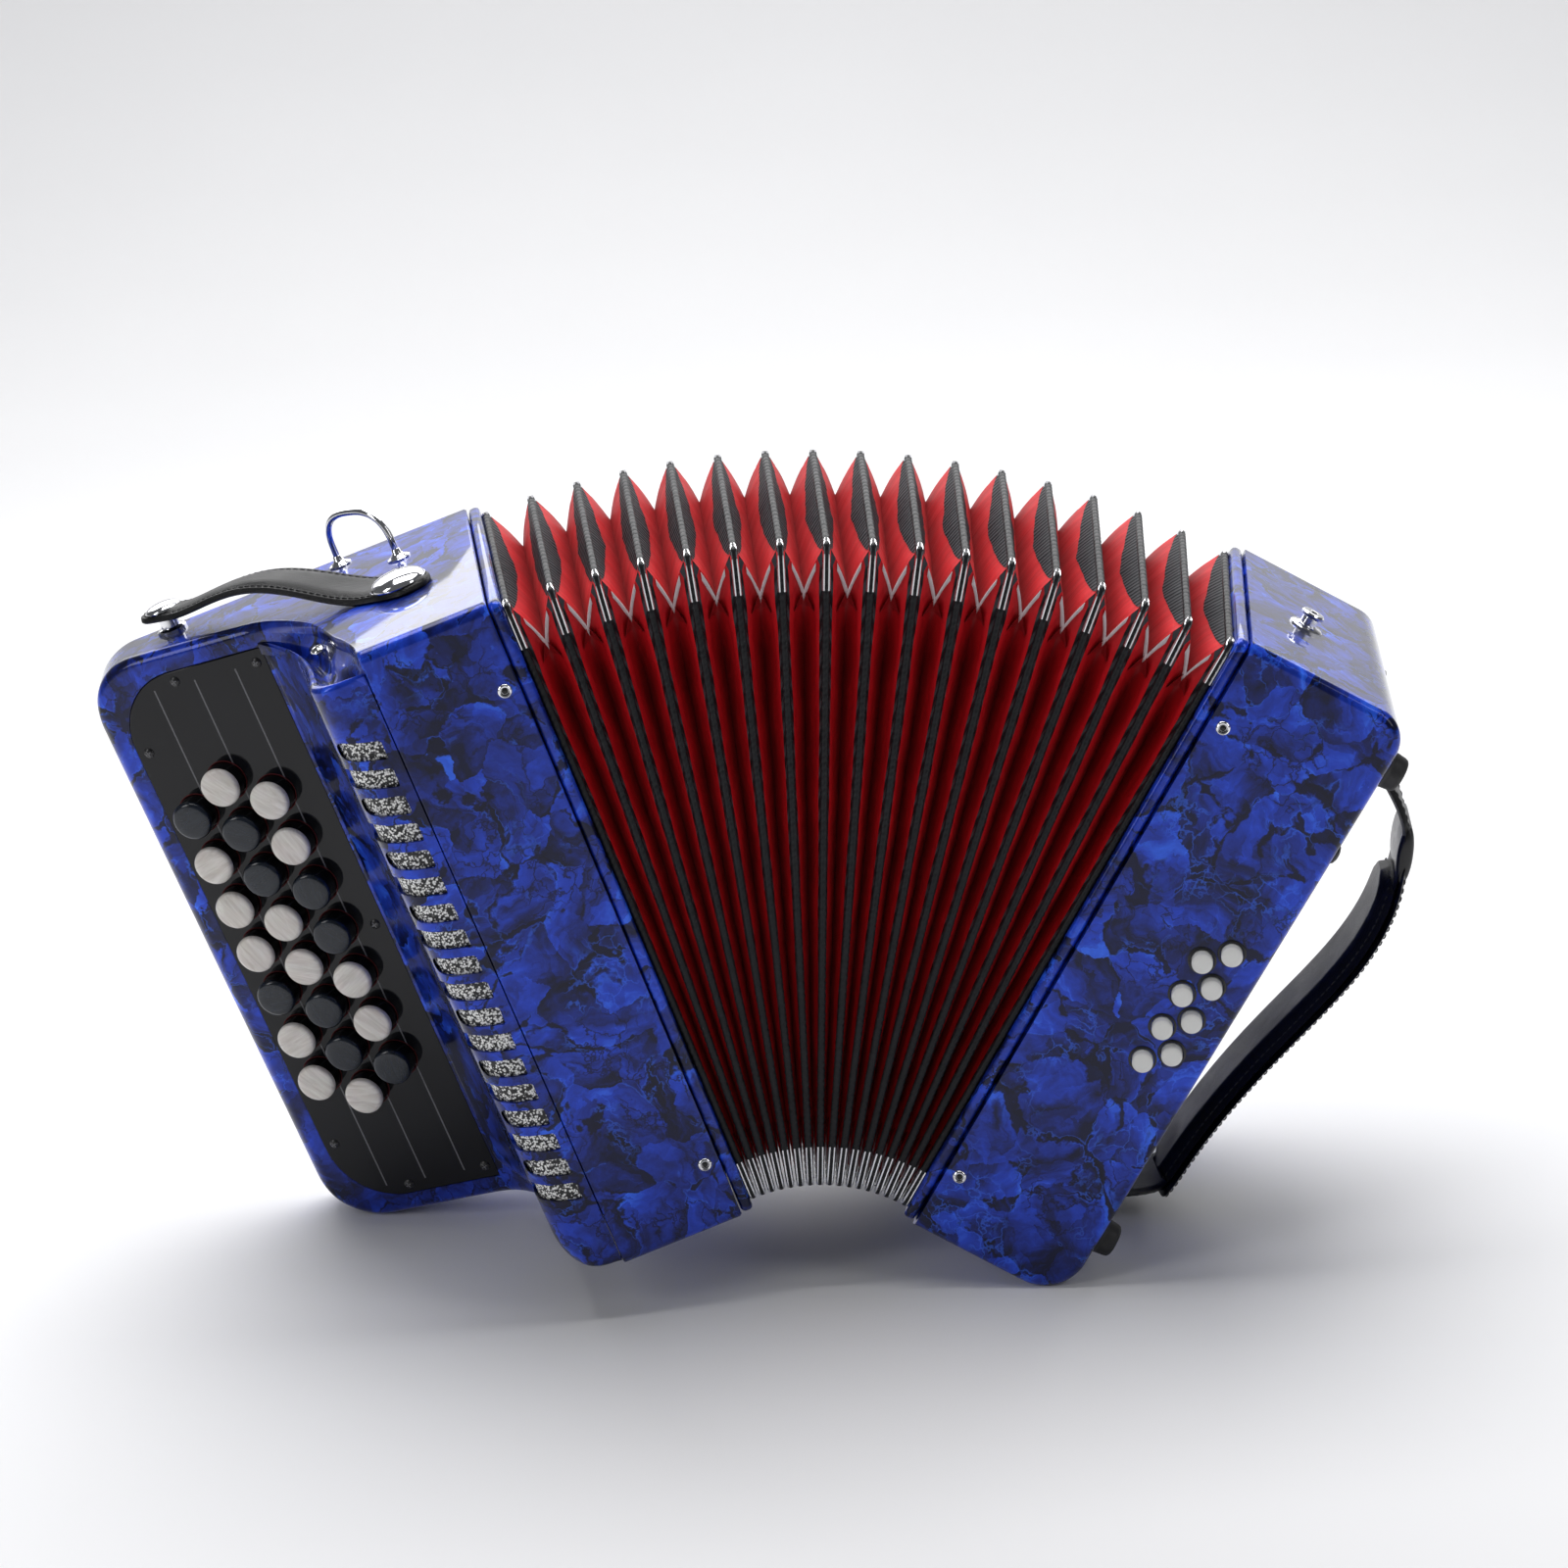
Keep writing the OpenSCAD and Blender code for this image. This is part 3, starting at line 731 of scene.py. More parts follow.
def button_places():
    """Outer, middle and inner row, each from the top: (distance along the plane, height)."""
    s, mid = 22.9, H / 2 + 1.8
    rows = [(s + k * ROW_PITCH, mid + (n - 1) / 2 * BUTTON_PITCH, n) for k, n in ((2, 7), (1, 8), (0, 7))]
    return [(s, top - i * BUTTON_PITCH) for s, top, n in rows for i in range(n)]


# numbers of the dark treble buttons
DARK = {1, 5, 9, 10, 13, 14, 18, 19, 22}


def treble_buttons():
    r, top = BUTTON_D / 2, BOARD_OUT + BUTTON_H
    cap = [(0.1, top), (r - 4, top - 0.05), (r - 1.6, top - 0.18), (r - 0.7, top - 0.5),
           (r - 0.18, top - 1.1), (r, top - 1.9), (r, top - 2.6)]
    side = [(r, top - 2.6), (r - 0.12, top - 2.75), (r - 0.12, -5.9)]
    foot = [(r + 1.2, -5.9), (r + 1.2, -7.5), (0.1, -7.5)]
    felt = [(0.1, -0.6), (0.37, -0.6), (0.55, 0.15), (0.45, 0.4), (0.25, 0.45), (0.1, 0.3), (0.1, -0.6)]
    for n, (s, w) in enumerate(button_places(), 1):
        m = BOARD @ shift(s, 0, w) @ turned(-90, "X")
        v, f, which = joined(spun(cap, 48), spun(side + foot, 48))
        face, slot = (CAP_DARK, "dark_button") if n in DARK else (CAP_PALE, "pearl_button")
        piece(f"button_{n:02d}", v, f, m, [face, SIDE], f"treble_button_{n:02d}_body", slot,
              index=which, stands_for=(f"treble_button_{n:02d}",))
        v, f = spun([(r + a, z) for a, z in felt], 40)
        on_board = m @ shift(0, 0, BOARD_OUT - 0.1)
        piece(f"button_felt_{n:02d}", v, f, on_board, FELT, "treble", "bellows_red")


# ---- bass casing ----
BASS_BUTTON_R, AIR_R, AIR_AT = 4.25, 4.5, (-60, 220)


def bass_body():
    def outline(i, side):
        pts = [(side, i)]
        for cu, cw, r, a in ((BASS - BASS_LOW, BASS_LOW, BASS_LOW, -90), (BASS - BASS_TOP, H - BASS_TOP, BASS_TOP, 0)):
            pts += [(cu + (r - i) * cos(a + 90 * k / 14), cw + (r - i) * sin(a + 90 * k / 14)) for k in range(15)]
        return pts + [(side, H - i)]

    def rounding(sign, a):
        drawn_in = r * (1 - cos(a))
        return [(u, sign * (HALF - r + r * sin(a)), w) for u, w in outline(drawn_in, min(0.6, drawn_in))]

    r, turns = 4.0, (0, 15, 30, 45, 60, 75, 90)
    rows = [rounding(-1, 90 - a) for a in turns]
    rows += [[(u, y, w) for u, w in outline(0, 0)] for y in (-40, 0, 40)]
    rows += [rounding(1, a) for a in turns]
    v, f = loft(rows, caps=True)
    o = piece("bass_body", v, f, BASSF, PEARL, "bass", "blue_pearl", stands_for=("bass_casing",))
    holes = [cylinder(at, BASS_BUTTON_R + 0.3, (-HALF - 4, -HALF + 22), "y") for at in bass_places()]
    cut(o, holes + [cylinder(AIR_AT, AIR_R + 0.3, (BASS - 24, BASS + 4), "x")])
    face_normals(o)


def bass_places():
    return [(u, top - 16.3 * i) for u, top in ((46.3, 162), (55.1, 170.2)) for i in range(4)]


def bass_buttons():
    r = BASS_BUTTON_R
    key = [(0.1, 5.0), (r - 1.4, 4.97), (r - 0.5, 4.75), (r - 0.1, 4.3), (r, 3.8),
           (r, -9), (r + 1.5, -9), (r + 1.5, -11), (0.1, -11)]
    for n, (u, w) in enumerate(bass_places(), 1):
        m = BASSF @ shift(u, -HALF, w) @ turned(90, "X")
        v, f = spun(key, 36)
        piece(f"bass_key_{n}", v, f, m, BASS_WHITE, f"bass_button_{n}_body", "white_button",
              stands_for=(f"bass_button_{n}",))
        v, f = spun([(4.7, 0.0), (5.7, 0.0), (5.75, 0.25), (5.3, 0.5), (4.8, 0.45), (4.7, 0.0)], 36)
        piece(f"bass_key_ring_{n}", v, f, m, PLASTIC, "bass", "black_plastic")
    m = BASSF @ shift(BASS, *AIR_AT) @ turned(90, "Y")
    air = [(0.1, 5.0), (2.4, 4.85), (3.7, 4.3), (4.4, 3.4), (AIR_R, 2.6), (AIR_R, -9), (6, -9), (6, -11), (0.1, -11)]
    v, f = spun(air, 36)
    piece("air_key", v, f, m, PLASTIC, "air_button_body", "black_plastic", stands_for=("air_button",))
    v, f = spun([(4.9, 0.0), (6.9, 0.0), (7.0, 0.5), (6.2, 1.1), (5.1, 1.1), (4.9, 0.0)], 36)
    piece("air_key_ring", v, f, m, CHROME, "bass", "chrome")


def bass_feet():
    foot = spun([(8.4, 0), (8.5, 0.8), (8.2, 1.6), (7.8, 2.1), (7.6, 3), (7.2, 6.6), (6.8, 7.8), (6.0, 8.4), (5.0, 8.5),
                 (2.6, 8.4), (2.5, 6.4), (0.1, 6.3)], 40)
    turn = turned(90, "Y")
    v, f, _ = joined(*[moved(foot, shift(BASS, y, z) @ turn) for y in (-66, 66) for z in (29, 262)])
    piece("rubber_feet", v, f, BASSF, RUBBER, "bass", "black_rubber", stands_for=("bass_feet",))


# ---- bellows ----
# the edge of a ridge, as (half depth, low, high)
LOOP = (RIDGE_HALF, 0.0, RIDGE_LEN)
# where the cloth leaves the ridge, how deep the folds are at a corner (in y, in z), and how far past the
# fold the cloth reaches, so that it stays closed when the bellows open further than at rest
START, CORNER, PAST = 1.6, (5.0, 20.0), 1.5
CLOTH_X = 0.8


def ring(loop, r, step, corner=5):
    """Places round a rectangle: (side or corner number, share, distance run). Sides: 0 low, 1 back, 2 top, 3 front."""
    hy, z0, z1 = loop
    out, s = [], 0.0
    for k in range(4):
        length = (2 * hy if k % 2 == 0 else z1 - z0) - 2 * r
        n = max(2, round(length / step))
        out += [(k, i / n, s + length * i / n) for i in range(n + 1)]
        s += length
        out += [(k + 4, i / (corner + 1), s + i * 0.6) for i in range(1, corner + 1)]
        s += 3.6
    return out


def on_side(k, t, a, lo, hi, y, z0, z1):
    """(y, z) at share t along side k of a rectangle that runs from -a to a or lo to hi, at z0, y, z1 or -y."""
    across_, up = a * (2 * t - 1), (hi - lo) * t
    return ((across_, z0), (y, lo + up), (-across_, z1), (-y, hi - up))[k]


def ring_point(at, d, loop, r):
    """(y, z) of a place on the ring, d inwards."""
    hy, z0, z1 = loop
    k, t, _ = at
    m = max(d, r)
    a, lo, hi = hy - m, z0 + m, z1 - m
    if k < 4:
        return on_side(k, t, a, lo, hi, hy - d, z0 + d, z1 - d)
    cy, cz, start = ((a, lo, -90), (a, hi, 0), (-a, hi, 90), (-a, lo, 180))[k - 4]
    return cy + (m - d) * cos(start + 90 * t), cz + (m - d) * sin(start + 90 * t)


def bead_mesh():
    """Ribbed tape over a ridge's edge: cords square to the edge, and laid like rope along the front and back."""
    places = ring(LOOP, 3.0, 0.62)
    rows = []
    arc = [(1.15, 5.0), (1.25, 2.6)] + [None] * 9 + [(-1.25, 2.6), (-1.15, 5.0)]
    for p in places:
        row = []
        rope = p[0] in (1, 3)
        for i, q in enumerate(arc):
            if q:
                y, z = ring_point(p, q[1], LOOP, 3.0)
                row.append((q[0], y, z))
                continue
            a = 180 * (i - 2) / 8
            x = cos(a)
            phase = p[2] / (2.8 if rope else 5.8) + (0.45 * x if rope else 0.0)
            rib = abs(math.sin(math.pi * phase)) ** 0.7
            rad = (1.20 + 0.46 * rib) if not rope else (1.38 + 0.28 * rib)
            y, z = ring_point(p, 1.75 - rad * sin(a), LOOP, 3.0)
            row.append((x * rad, y, z))
        rows.append(row)
    return loop_of(rows)


def loop_of(rows):
    """Open rows joined into a closed loop."""
    n = len(rows[0])
    v = [q for r in rows for q in r]
    f = []
    for i in range(len(rows)):
        j = (i + 1) % len(rows)
        f += [(i * n + c, i * n + c + 1, j * n + c + 1, j * n + c) for c in range(n - 1)]
    return v, f


def wobble(k, s, salt=0.0):
    """A smooth small irregularity along a fold, the same at each run."""
    slow, mid, fast = s * 0.11 + k * 2.3 + salt, s * 0.27 + k * 1.1 + 2 * salt, s * 0.61 + k * 3.7 + salt
    return (math.sin(slow) + 0.6 * math.sin(mid) + 0.35 * math.sin(fast)) / 1.95


def half_gap(y, z):
    """Half the distance to the next ridge, from a point of the ridge's plane."""
    return (y * sin(SLANT) + z * cos(SLANT) + REACH) * math.tan(math.radians(STEP / 2))


def corner_reach(p):
    """How far a place is from the nearest corner, along its side."""
    k, t, _ = p
    return (2 * RIDGE_HALF if k % 2 == 0 else RIDGE_LEN) * min(t, 1 - t)


def cloth_point(k, p, q):
    """(y, z) on the cloth, q of the way from the ridge's edge at place p to the fold, and the fold's depth."""
    side, t, s = p
    c = corner_reach(p)
    iy, iz = (START + (d - START) * q for d in CORNER)
    a, lo, hi = RIDGE_HALF - iy, iz, RIDGE_LEN - iz
    near, deep = (CORNER[1], 21.0) if side % 2 == 0 else (CORNER[0], FOLD_D)
    share = min(1.0, c / 32)
    depth = near + (deep - near) * share**0.8 + 0.8 * share * wobble(k, s)
    d = START + (depth - START) * q
    return on_side(side, t, a, lo, hi, RIDGE_HALF - d, d, RIDGE_LEN - d), depth


def cloth_x(g, q, sag=1.0):
    """How far the cloth stands off the ridge's plane, g being half the gap there; it bulges between ridge and fold."""
    return CLOTH_X + (g - CLOTH_X) * q + 0.55 * sin(180 * min(q, 1)) * sag * min(1, g / 6)


def flank(k, sign):
    """The cloth from a ridge down past the fold between it and the next, with the tape's flank at its outer edge."""
    places = [p for p in ring(LOOP, 0.02, 5.0, corner=1) if p[0] < 4]
    rows, depth = [], []
    for p in places:
        c = corner_reach(p)
        if p[0] in (0, 2):
            d_tape = 2.8 + 8.4 * min(1.0, c / RIDGE_HALF) ** 0.6
        else:
            d_tape = 2.6 + 2.2 * min(1.0, max(0.0, c - 4) / 20) ** 0.7
        q_tape = (d_tape - START) / (cloth_point(k, p, 1)[1] - START)
        steps = [0.0, q_tape / 2, q_tape, q_tape + 0.001]
        steps += [q_tape + (PAST - q_tape) * q for q in (0.12, 0.24, 0.36, 0.48, 0.6, 0.74, 1.0)]
        sag, row = 1 + 0.5 * wobble(k, p[2], 1.7), []
        for j, q in enumerate(steps):
            y, z = cloth_point(k, p, q)[0]
            x = cloth_x(half_gap(y, z), q, sag)
            # the cloth starts a little under the tape's edge
            row.append((sign * (x - 0.28 * (j == 3)), y, z))
        rows.append(row)
        # shares along the cloth, which its colour uses for painted shade deep in the folds
        depth += steps
    v, f = loop_of(rows)
    return v, f, [0 if i % (len(rows[0]) - 1) < 2 else 1 for i in range(len(f))], depth


def lining_strips(k, sign):
    """Pale edge of the lining, along the seam where the cloth of two sides meets at a corner."""
    parts = []
    for side, at_end in ((3, False), (3, True), (1, True), (1, False)):
        rows = []
        for q in np.linspace(0.36, 1.0, 14):
            ends = []
            for width in (0.0, 1.0):
                t = 0.3 + 0.5 * wobble(k, 13 * q, side)
                t += width * (2.2 + 3.0 * q + 1.2 * wobble(k, 21 * q, side + 1))
                t = max(0.0, t) / RIDGE_LEN
                y, z = cloth_point(k, (side, 1 - t if at_end else t, 0.0), q)[0]
                ends.append(Vector((sign * cloth_x(half_gap(y, z), q), y, z)))
            a, b = ends
            out = Vector((0, -1 if side == 3 else 1, 0)) * (0.5 + 0.9 * q)
            rows.append([tuple(a), tuple(a + out), tuple((a + b) / 2 + out * 1.35), tuple(b + out), tuple(b)])
        parts.append(loft(rows))
    return parts


def clamp(side, low_end):
    """Chrome channel over a ridge's corner: a short leg over the top or bottom, a long one down the front or back."""
    r = 5.0
    loop = (RIDGE_HALF + 0.30, -0.30, RIDGE_LEN + 0.30)
    path = []
    hy, z0, z1 = loop
    long_, short = 14.5, 2.5
    # (y, z) along the outside, with the way in, from the short leg round the corner to the long leg
    sy = -1 if side == 3 else 1
    cz, sz = (z0 + r, -1) if low_end else (z1 - r, 1)
    cy = sy * (hy - r)
    for d in np.linspace(short, 0, 4):
        path.append(((cy - sy * d, sz * r + cz), (0, -sz)))
    for a in (18, 36, 54, 72):
        path.append(((cy + sy * r * sin(a), cz + sz * r * cos(a)), (-sy * sin(a), -sz * cos(a))))
    for d in np.linspace(0, long_, 8):
        path.append(((cy + sy * r, cz - sz * d), (-sy, 0)))
    rows = []
    for i, ((y, z), (iy, iz)) in enumerate(path):
        tip, wide = min(1.0, 0.55 + 0.45 * min(i, 2) / 2), min(1.0, 0.5 + 0.12 * i)
        row = []
        # half of the channel's section, from its free edge to the groove down its middle
        for x, d in ((1.5, 6.0 * tip), (1.72, 4.6 * tip), (1.72, 2.1), (1.55, 0.8), (1.15, 0.15), (0.72, 0.2),
                     (0.34, 0.85), (0.0, 1.1)):
            row.append((x * wide, y + iy * d, z + iz * d))
        row += [(-x, b, c) for x, b, c in row[-2::-1]]
        inner = [(x * 0.86, b + iy * 0.3, c + iz * 0.3) for x, b, c in row[::-1]]
        rows.append(row + inner)
    return loft(rows, caps=True)


def bellows():
    bead = bead_mesh()
    clamps = joined(*[clamp(s, low) for s in (3, 1) for low in (True, False)])[:2]
    first = None
    for k in range(FOLDS + 1):
        body, node = f"fold_{k:02d}", f"bellows_fold_{k:02d}"
        if k in (0, FOLDS):
            body = "treble" if k == 0 else "bass"
            node = body + "_bellows_frame"
        m = fold(k)
        names = f"ridge_tape_{k:02d}", f"corner_clamps_{k:02d}"
        if first is None:
            first = (piece(names[0], *bead, m, TAPE, body, "bellows_red", sharp=60, stands_for=(node,)),
                     piece(names[1], *clamps, m, CHROME, body, "chrome", sharp=50))
        else:
            for name, like, slot, stands_for in zip(names, first, ("bellows_red", "chrome"), ((node,), ())):
                place(linked(name, like.data), m, body, stands_for)
        signs = [s for s in (-1, 1) if not (k == 0 and s < 0) and not (k == FOLDS and s > 0)]
        sides = [flank(k, s) for s in signs]
        v, f, _ = joined(*[(a, b) for a, b, _, _ in sides])
        o = piece(f"fold_cloth_{k:02d}", v, f, m, [TAPE_SIDE, RED], body, "bellows_red",
                  index=sum((c for _, _, c, _ in sides), []), sharp=55)
        # the cloth's colour reads these shares for painted shade deep in the folds
        att = o.data.attributes.new("depth", "FLOAT", "POINT")
        att.data.foreach_set("value", sum((d for _, _, _, d in sides), []))
        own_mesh(o)
        v, f, _ = joined(*sum((lining_strips(k, s) for s in signs), []))
        o = piece(f"lining_{k:02d}", v, f, m, LINING, body, "bellows_red", sharp=60)
        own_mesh(o)


def bellows_frame(name, m, sign, body):
    """Rounded celluloid strip round the casing's open side."""
    loop = (HALF - 0.9, 0.9, H - 0.9)
    places = ring(loop, 4.2, 30.0, corner=6)
    half = [(0.0, 13.0), (0.0, 1.6), (0.5, 0.6), (1.4, 0.1)]
    profile = half + [(2.5, 0.0)] + [(FRAME_T - x, d) for x, d in half[::-1]]
    rows = [[(sign * (SEAM + x), *ring_point(p, d, loop, 4.2)) for x, d in profile] for p in places]
    v, f = loft(rows + [rows[0]], around=True)
    piece(name, v, f, m, PEARL, body, "blue_pearl", sharp=45)


# ---- metal fittings and straps ----
def pins(m, u, name, body):
    """The four pins that hold the bellows to a casing: chrome rings with a dark middle."""
    rim = spun([(3.0, 0.0), (3.0, 0.3), (2.7, 0.85), (2.2, 1.1), (1.7, 0.95), (1.45, 0.5), (1.4, 0.1), (0.1, 0.1)], 28)
    middle = spun([(1.3, 0.15), (0.9, 0.5), (0.1, 0.6)], 20)
    parts = []
    for y, a in ((-HALF, 90), (HALF, -90)):
        for z in (30, 250):
            at = shift(u, y, z) @ turned(a, "X")
            parts += [moved(rim, at), moved(middle, at)]
    v, f, which = joined(*parts)
    piece(name, v, f, m, [CHROME, PLASTIC], body, "chrome", index=[i % 2 for i in which])


def strap_loop(w):
    """Wire loop for a shoulder strap, with a flared foot at each leg."""
    arch = [(-w * math.copysign(abs(cos(a)) ** 0.75, cos(a)), 0, 7 + 16 * sin(a) ** 0.8) for a in range(0, 181, 6)]
    pts = [(-w, 0, 0.2), (-w, 0, 3), (-w, 0, 6)] + arch + [(w, 0, 6), (w, 0, 3), (w, 0, 0.2)]
    foot = spun([(5.0, 0), (5.0, 0.6), (4.2, 1.1), (2.6, 1.8), (2.0, 2.8), (1.8, 4.2), (1.4, 4.6)], 28)
    return [tube(pts, 1.5, 14)] + [moved(foot, shift(s * w, 0, 0)) for s in (-1, 1)]


def rivet(r, h, rim, n):
    """A dome on a thin flange; rim gives the flange's radius at its foot and its height."""
    return spun([(rim[0], 0), (r, rim[1])] + [(a * 0.97, rim[1] + b) for a, b in dome(r, h)], n)


def treble_fittings():
    at = lambda u, y, z=0.0: shift(-u, y, H + z)
    parts = [moved(p, at(45, 52) @ turned(-46.6, "Z")) for p in strap_loop(19)]
    # the strap's rivet on the casing, the stud that it snaps on, and the snap's cap
    parts.append(moved(rivet(12, 4.4, (11.8, 0.5), 48), at(32.5, -13, 3.1)))
    parts.append(moved(spun([(6.5, 0), (6.5, 1.2), (5.8, 1.9), (4.2, 2.2), (4.0, 6.6), (0.1, 6.7)], 36), at(135, 68)))
    parts.append(moved(rivet(8, 2.5, (7.8, 0.4), 40), at(135, 68, 10.2)))
    v, f, _ = joined(*parts)
    piece("treble_metal", v, f, TREBLE, CHROME, "treble", "chrome", stands_for=("treble_fixings",))
    pins(TREBLE, -6, "treble_pins", "treble")
    head = spun([(3.2, 0), (3.2, 0.5)] + [(r, 0.5 + z) for r, z in dome(3.1, 1.5, 6)], 28)
    # painted shade: dark bars stand in for the shade in the chrome head's cross recess
    v, f, w = joined(head, *cross_recess(1.8, 0.3, 1.2, 2.03, (30, 120)))
    m = TREBLE @ shift(-70.8, -29, LIP + 1.2) @ turned(14, "X")
    piece("grille_screw", v, f, m, [CHROME, SCREW], "treble", "chrome", index=[min(i, 1) for i in w])


def bass_fittings():
    stud = spun([(7.2, 0), (7.2, 0.6), (6.4, 1.3), (4.2, 1.6), (3.6, 2.0), (3.5, 4.6), (4.0, 5.0), (4.9, 5.4),
                 (5.0, 6.3), (4.5, 7.0), (3.2, 7.2), (2.0, 7.0), (1.7, 6.0), (0.1, 5.9)], 40)
    v, f = moved(stud, shift(26, -9, H))
    piece("snap_stud", v, f, BASSF, CHROME, "bass", "chrome", stands_for=("bass_fixings",))
    pins(BASSF, 6.5, "bass_pins", "bass")


def leather_band(spine, widths, lift, thick, m, name, body, node_=(), edge=1.6):
    """Padded strap along a spine in x and z: rounded edges, raised middle, stitching near the borders."""
    spine = np.array(spine, float)
    d = np.gradient(spine, axis=0)
    d /= np.linalg.norm(d, axis=1)[:, None]
    up = np.stack([-d[:, 1], d[:, 0]], axis=1)
    rows = []
    for p, n_, w in zip(spine, up, widths):
        top, low = [], []
        for a in np.linspace(-1, 1, 21):
            y = a * w
            inside = (w - abs(y))
            rim = min(1.0, inside / edge)
            round_ = root(1 - (1 - rim) ** 2)
            puff = lift * max(0.0, min(1.0, (inside - 3.2) / 3.0)) ** 0.6 if w > 6 else 0
            stitch = -0.25 if 2.0 < inside < 3.2 else 0.0
            for side, h in ((top, thick * (0.35 + 0.65 * round_) + puff + stitch), (low, thick * 0.35 * (1 - round_))):
                side.append((p[0] + n_[0] * h, y, p[1] + n_[1] * h))
        rows.append(top + low[::-1])
    o = piece(name, *loft(rows, caps=True), m, LEATHER, body, "black_leather", sharp=60, stands_for=node_)
    # stitches
    run = np.concatenate([[0], np.cumsum(np.linalg.norm(np.diff(spine, axis=0), axis=1))])
    parts = []
    for s in np.arange(4, run[-1] - 4, 3.4):
        p, q = (np.array([np.interp(s + e, run, spine[:, c]) for c in (0, 1)]) for e in (0, 2.2))
        n_ = np.array([np.interp(s + 1, run, up[:, c]) for c in (0, 1)])
        w = np.interp(s + 1, run, widths)
        if w < 7:
            continue
        out = np.array([n_[0], 0, n_[1]])
        for y in (-w + 2.6, w - 2.6):
            a, b = (np.array([e[0], y, e[1]]) + out * (thick - 0.05) for e in (p, q))
            parts.append(tube([a, (a + b) / 2 + out * 0.25, b], 0.28, 6))
    piece(name + "_stitches", *joined(*parts)[:2], m, STITCH, body, "black_leather")


def bellows_strap():
    """Parked over the keyboard's upper end, from its rivet to the stud; it rises in between."""
    a, b = Vector((-32.5, -13)), Vector((-135, 68))
    run, turn = (b - a).length, math.atan2(b.y - a.y, b.x - a.x)
    spine, widths = [], []
    for x in np.linspace(-13.5, run + 11.5, 90):
        share = min(1.0, max(0.0, (x - 14) / (run - 24)))
        t = share * share * (3 - 2 * share)
        spine.append((x, 7 * t + 9 * sin(180 * share) ** 1.6 + 0.05))
        half, end = 12.2 - 3.6 * t, min(x + 13.6, run + 11.6 - x)
        widths.append(max(0.6, half * root(1 - max(0.0, 1 - end / half) ** 2)))
    m = TREBLE @ shift(a.x, a.y, H) @ turned(math.degrees(turn), "Z")
    leather_band(spine, widths, 1.1, 2.9, m, "closing_strap", "treble", ("bellows_strap",))


# heights of the hand strap's two ends
STRAP_LOW, STRAP_HIGH = 25.0, 252.0


def strap_x(w):
    """How far out the hand strap's inner side is at a height."""
    t = min(1.0, max(0.0, (w - STRAP_LOW) / (STRAP_HIGH - STRAP_LOW)))
    return BASS + 0.5 + 22 * sin(90 * min(1, 11 * t, 9 * (1 - t))) + 20 * max(0.0, sin(180 * t**1.9)) ** 1.3


def rounded(half, run, n, low, high):
    """Half-widths along a strip with round ends; low and high are the lengths that the ends take."""
    out = []
    for d in np.linspace(0, run, n):
        k = min(1.0, (d + 0.4) / low, (run - d + 0.4) / high)
        out.append(half * math.sqrt(max(0.003, 1 - (1 - k) ** 2)))
    return out


def hand_strap():
    """An outer leather with a loose tip, a soft roll on its inner side, and webbing with a keeper up to the bracket."""
    line = lambda w0, w1, off, n: [(strap_x(w) + off, w) for w in np.linspace(w0, w1, n)]
    tip = [(strap_x(48) + 3.2 - 0.10 * (48 - w), w) for w in np.linspace(35, 47, 12)]
    outer = tip + line(48, 226, 3.2, 90)
    leather_band(outer[::-1], rounded(25.5, 195, 102, 26, 14), 0.4, 1.7, BASSF, "hand_strap_leather", "bass",
                 ("hand_strap",))
    leather_band(line(40, 212, 3.0, 90), rounded(22.5, 178, 90, 10, 14), 3.6, 3.4, BASSF, "hand_strap_roll", "bass")
    for name, w0, w1 in (("upper", 204, STRAP_HIGH), ("lower", STRAP_LOW, 56)):
        leather_band(line(w0, w1, 1.0, 30)[::-1], [19.0] * 30, 0.0, 3.0, BASSF, f"hand_strap_{name}_end", "bass",
                     edge=0.8)
    # keeper: an oval slide round the webbing
    p, q = (Vector((strap_x(w) + 3.2, 0, w)) for w in (221, 223))
    d = (q - p).normalized()
    up = Vector((d.z, 0, -d.x))
    oval = [13 * cos(a) * d + 3.4 * sin(a) * up for a in range(0, 360, 12)]
    half = [(19, 0.55), (18.6, 0.8), (17.6, 0.95), (16, 1)]
    ends = [(-y, k) for y, k in half] + half[::-1]
    rows = [[tuple(p + Vector((0, y, 0)) + k * e) for e in oval] for y, k in ends]
    piece("hand_strap_keeper", *loft(rows, caps=True), BASSF, PLASTIC, "bass", "black_plastic", sharp=50)
    # the brackets that hold the strap's ends
    for n, z in enumerate((STRAP_LOW - 1.5, STRAP_HIGH + 1.5)):
        rows = []
        for y in np.linspace(-27, 27, 9):
            e = 1.4 if abs(y) > 25 else 0
            half = [(0.1, 6 - e), (1.8, 6 - e), (4.6 - e, 3.8)]
            section = [(x, -c) for x, c in half] + [(5.4 - e, 0)] + half[::-1]
            rows.append([(BASS + x, y, z + c) for x, c in section])
        piece(f"hand_strap_bracket_{n + 1}", *loft(rows, caps=True), BASSF, PLASTIC, "bass", "black_plastic", sharp=30)


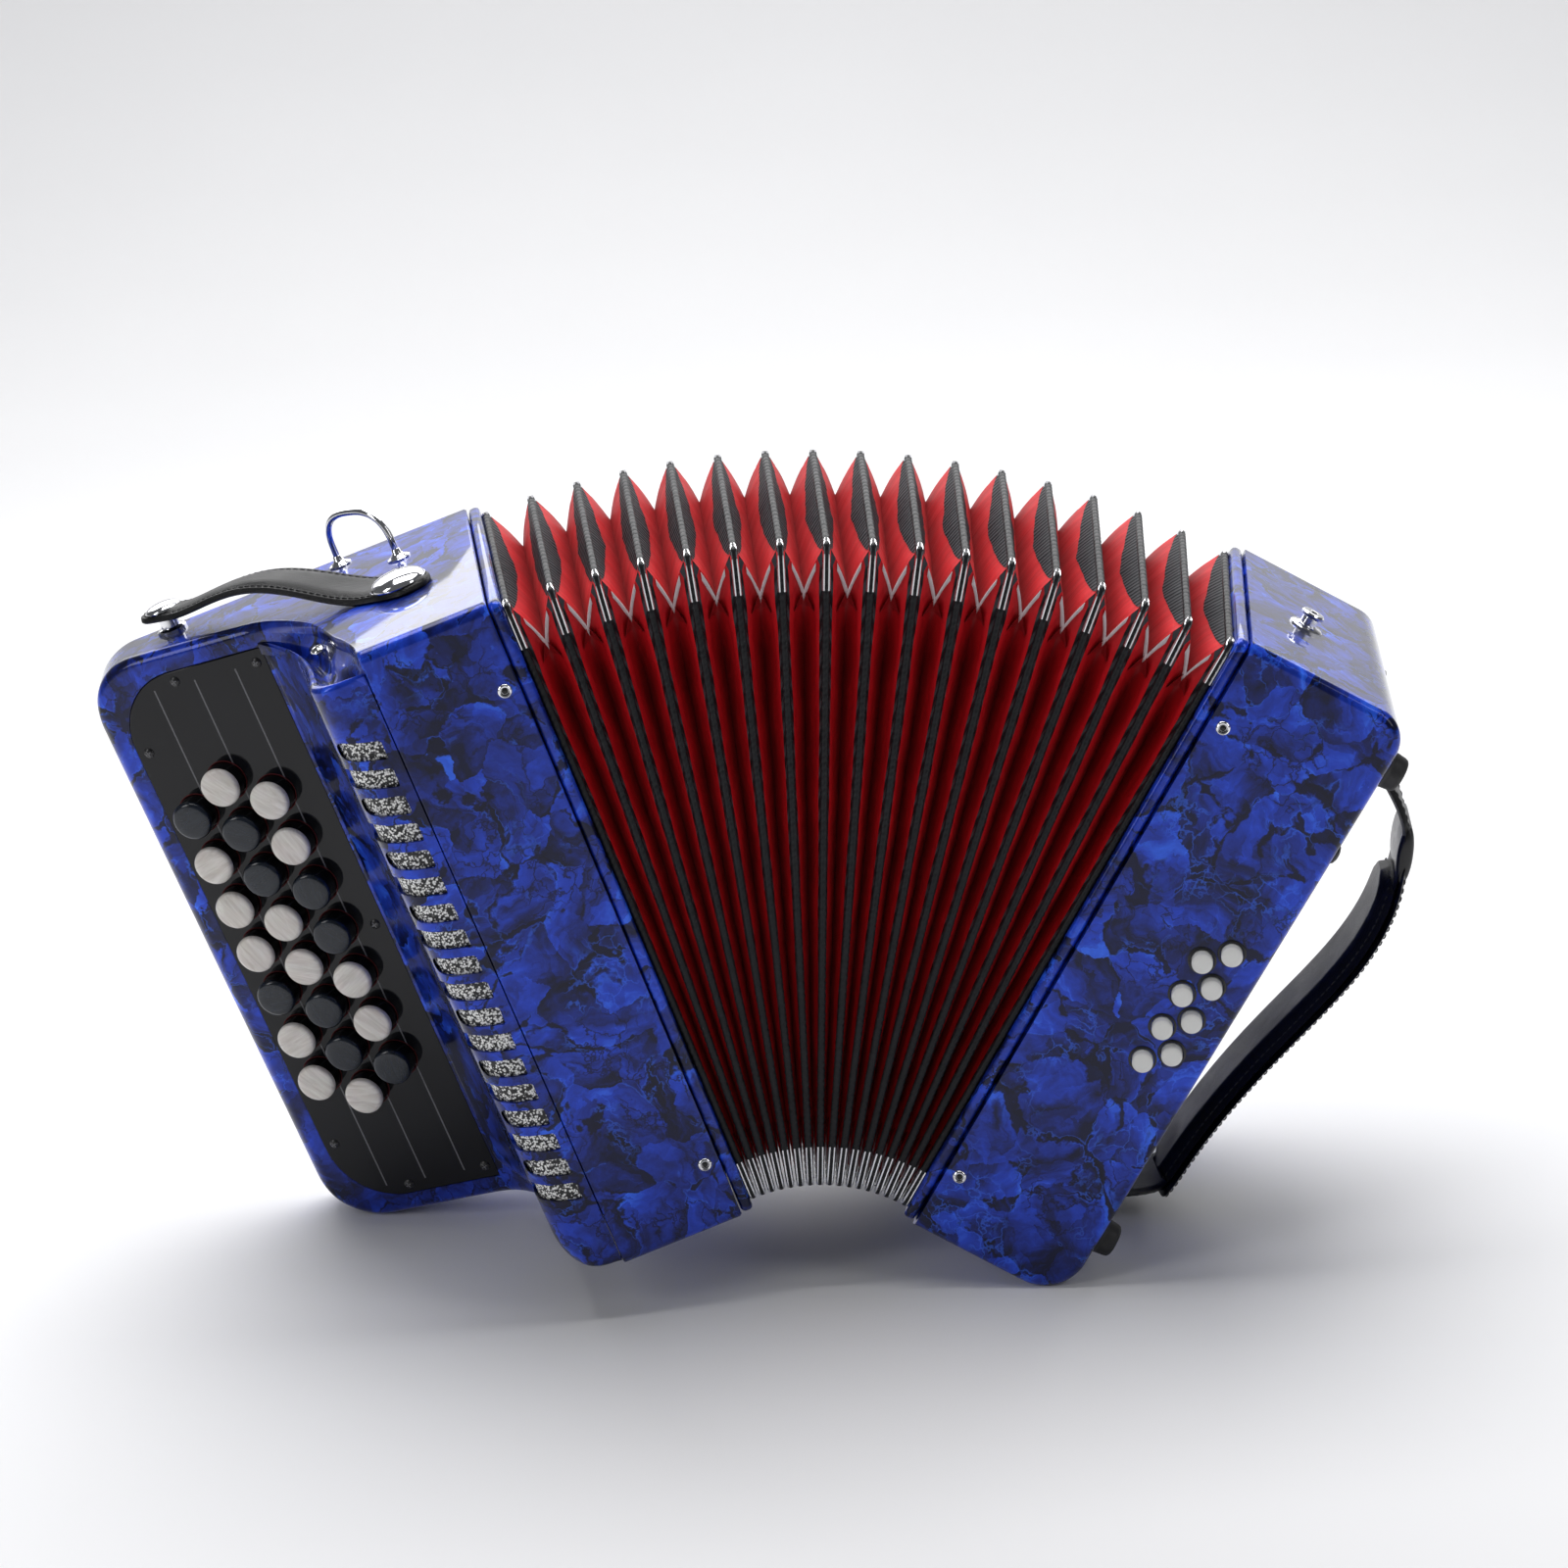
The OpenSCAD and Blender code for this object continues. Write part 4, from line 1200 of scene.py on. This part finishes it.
# ---- carried-over CAD nodes ----
for name in ("treble_soundboard", "bass_soundboard"):
    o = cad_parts[name]
    o.data.materials.clear()
    o.data.materials.append(WOOD)

treble_body()
grille_cover()
fingerboard()
treble_buttons()
bass_body()
bass_buttons()
bass_feet()
bellows()
bellows_frame("treble_bellows_bead", TREBLE, 1, "treble")
bellows_frame("bass_bellows_bead", BASSF, -1, "bass")
treble_fittings()
bass_fittings()
bellows_strap()
hand_strap()


# ---- stage and light ----
def stage():
    """Floor and back wall in one sweep, in metres."""
    back, r = 1.6, 0.8
    sweep = [(back + r * sin(a), r - r * cos(a)) for a in range(10, 91, 10)]
    line = [(-3.0, 0.0), (0.0, 0.0), (back, 0.0)] + sweep + [(back + r, 3.2)]
    me = bpy.data.meshes.new("backdrop")
    v, f = loft([[(x, y, z) for x in (-4, 4)] for y, z in line], around=False)
    me.from_pydata(v, [], f)
    me.polygons.foreach_set("use_smooth", [True] * len(me.polygons))
    o = linked("backdrop", me)
    m, t, s, co = material("backdrop")
    put(t, s, Base_Color=mix(t, noise(t, co, 3, 2), (0.83, 0.83, 0.84), (0.86, 0.86, 0.87)), Roughness=0.85)
    me.materials.append(m)


def light(name, at, aim, size, power, color=(1, 1, 1)):
    data = bpy.data.lights.new(name, "AREA")
    data.shape, data.size, data.size_y, data.energy, data.color = "RECTANGLE", size[0], size[1], power, color
    o = linked(name, data)
    o.location = at
    o.rotation_euler = (Vector(aim) - Vector(at)).to_track_quat("-Z", "Y").to_euler()


stage()
light("back", (0, 2.1, 1.5), (0, 0, 0.3), (4.4, 1.7), 56)
light("top", (0, 0.30, 1.9), (0, 0.05, 0.1), (1.8, 1.2), 36)
light("left", (-1.6, -1.0, 1.0), (0, 0, 0.15), (0.5, 1.2), 7.5)
light("right", (1.6, -1.0, 1.1), (0, 0, 0.15), (0.5, 1.2), 4.5)
world = bpy.data.worlds.new("studio")
world.use_nodes = True
world.node_tree.nodes["Background"].inputs[0].default_value = (0.93, 0.95, 1.0, 1)
world.node_tree.nodes["Background"].inputs[1].default_value = 0.11
scene.world = world
scene.view_settings.view_transform = "Standard"
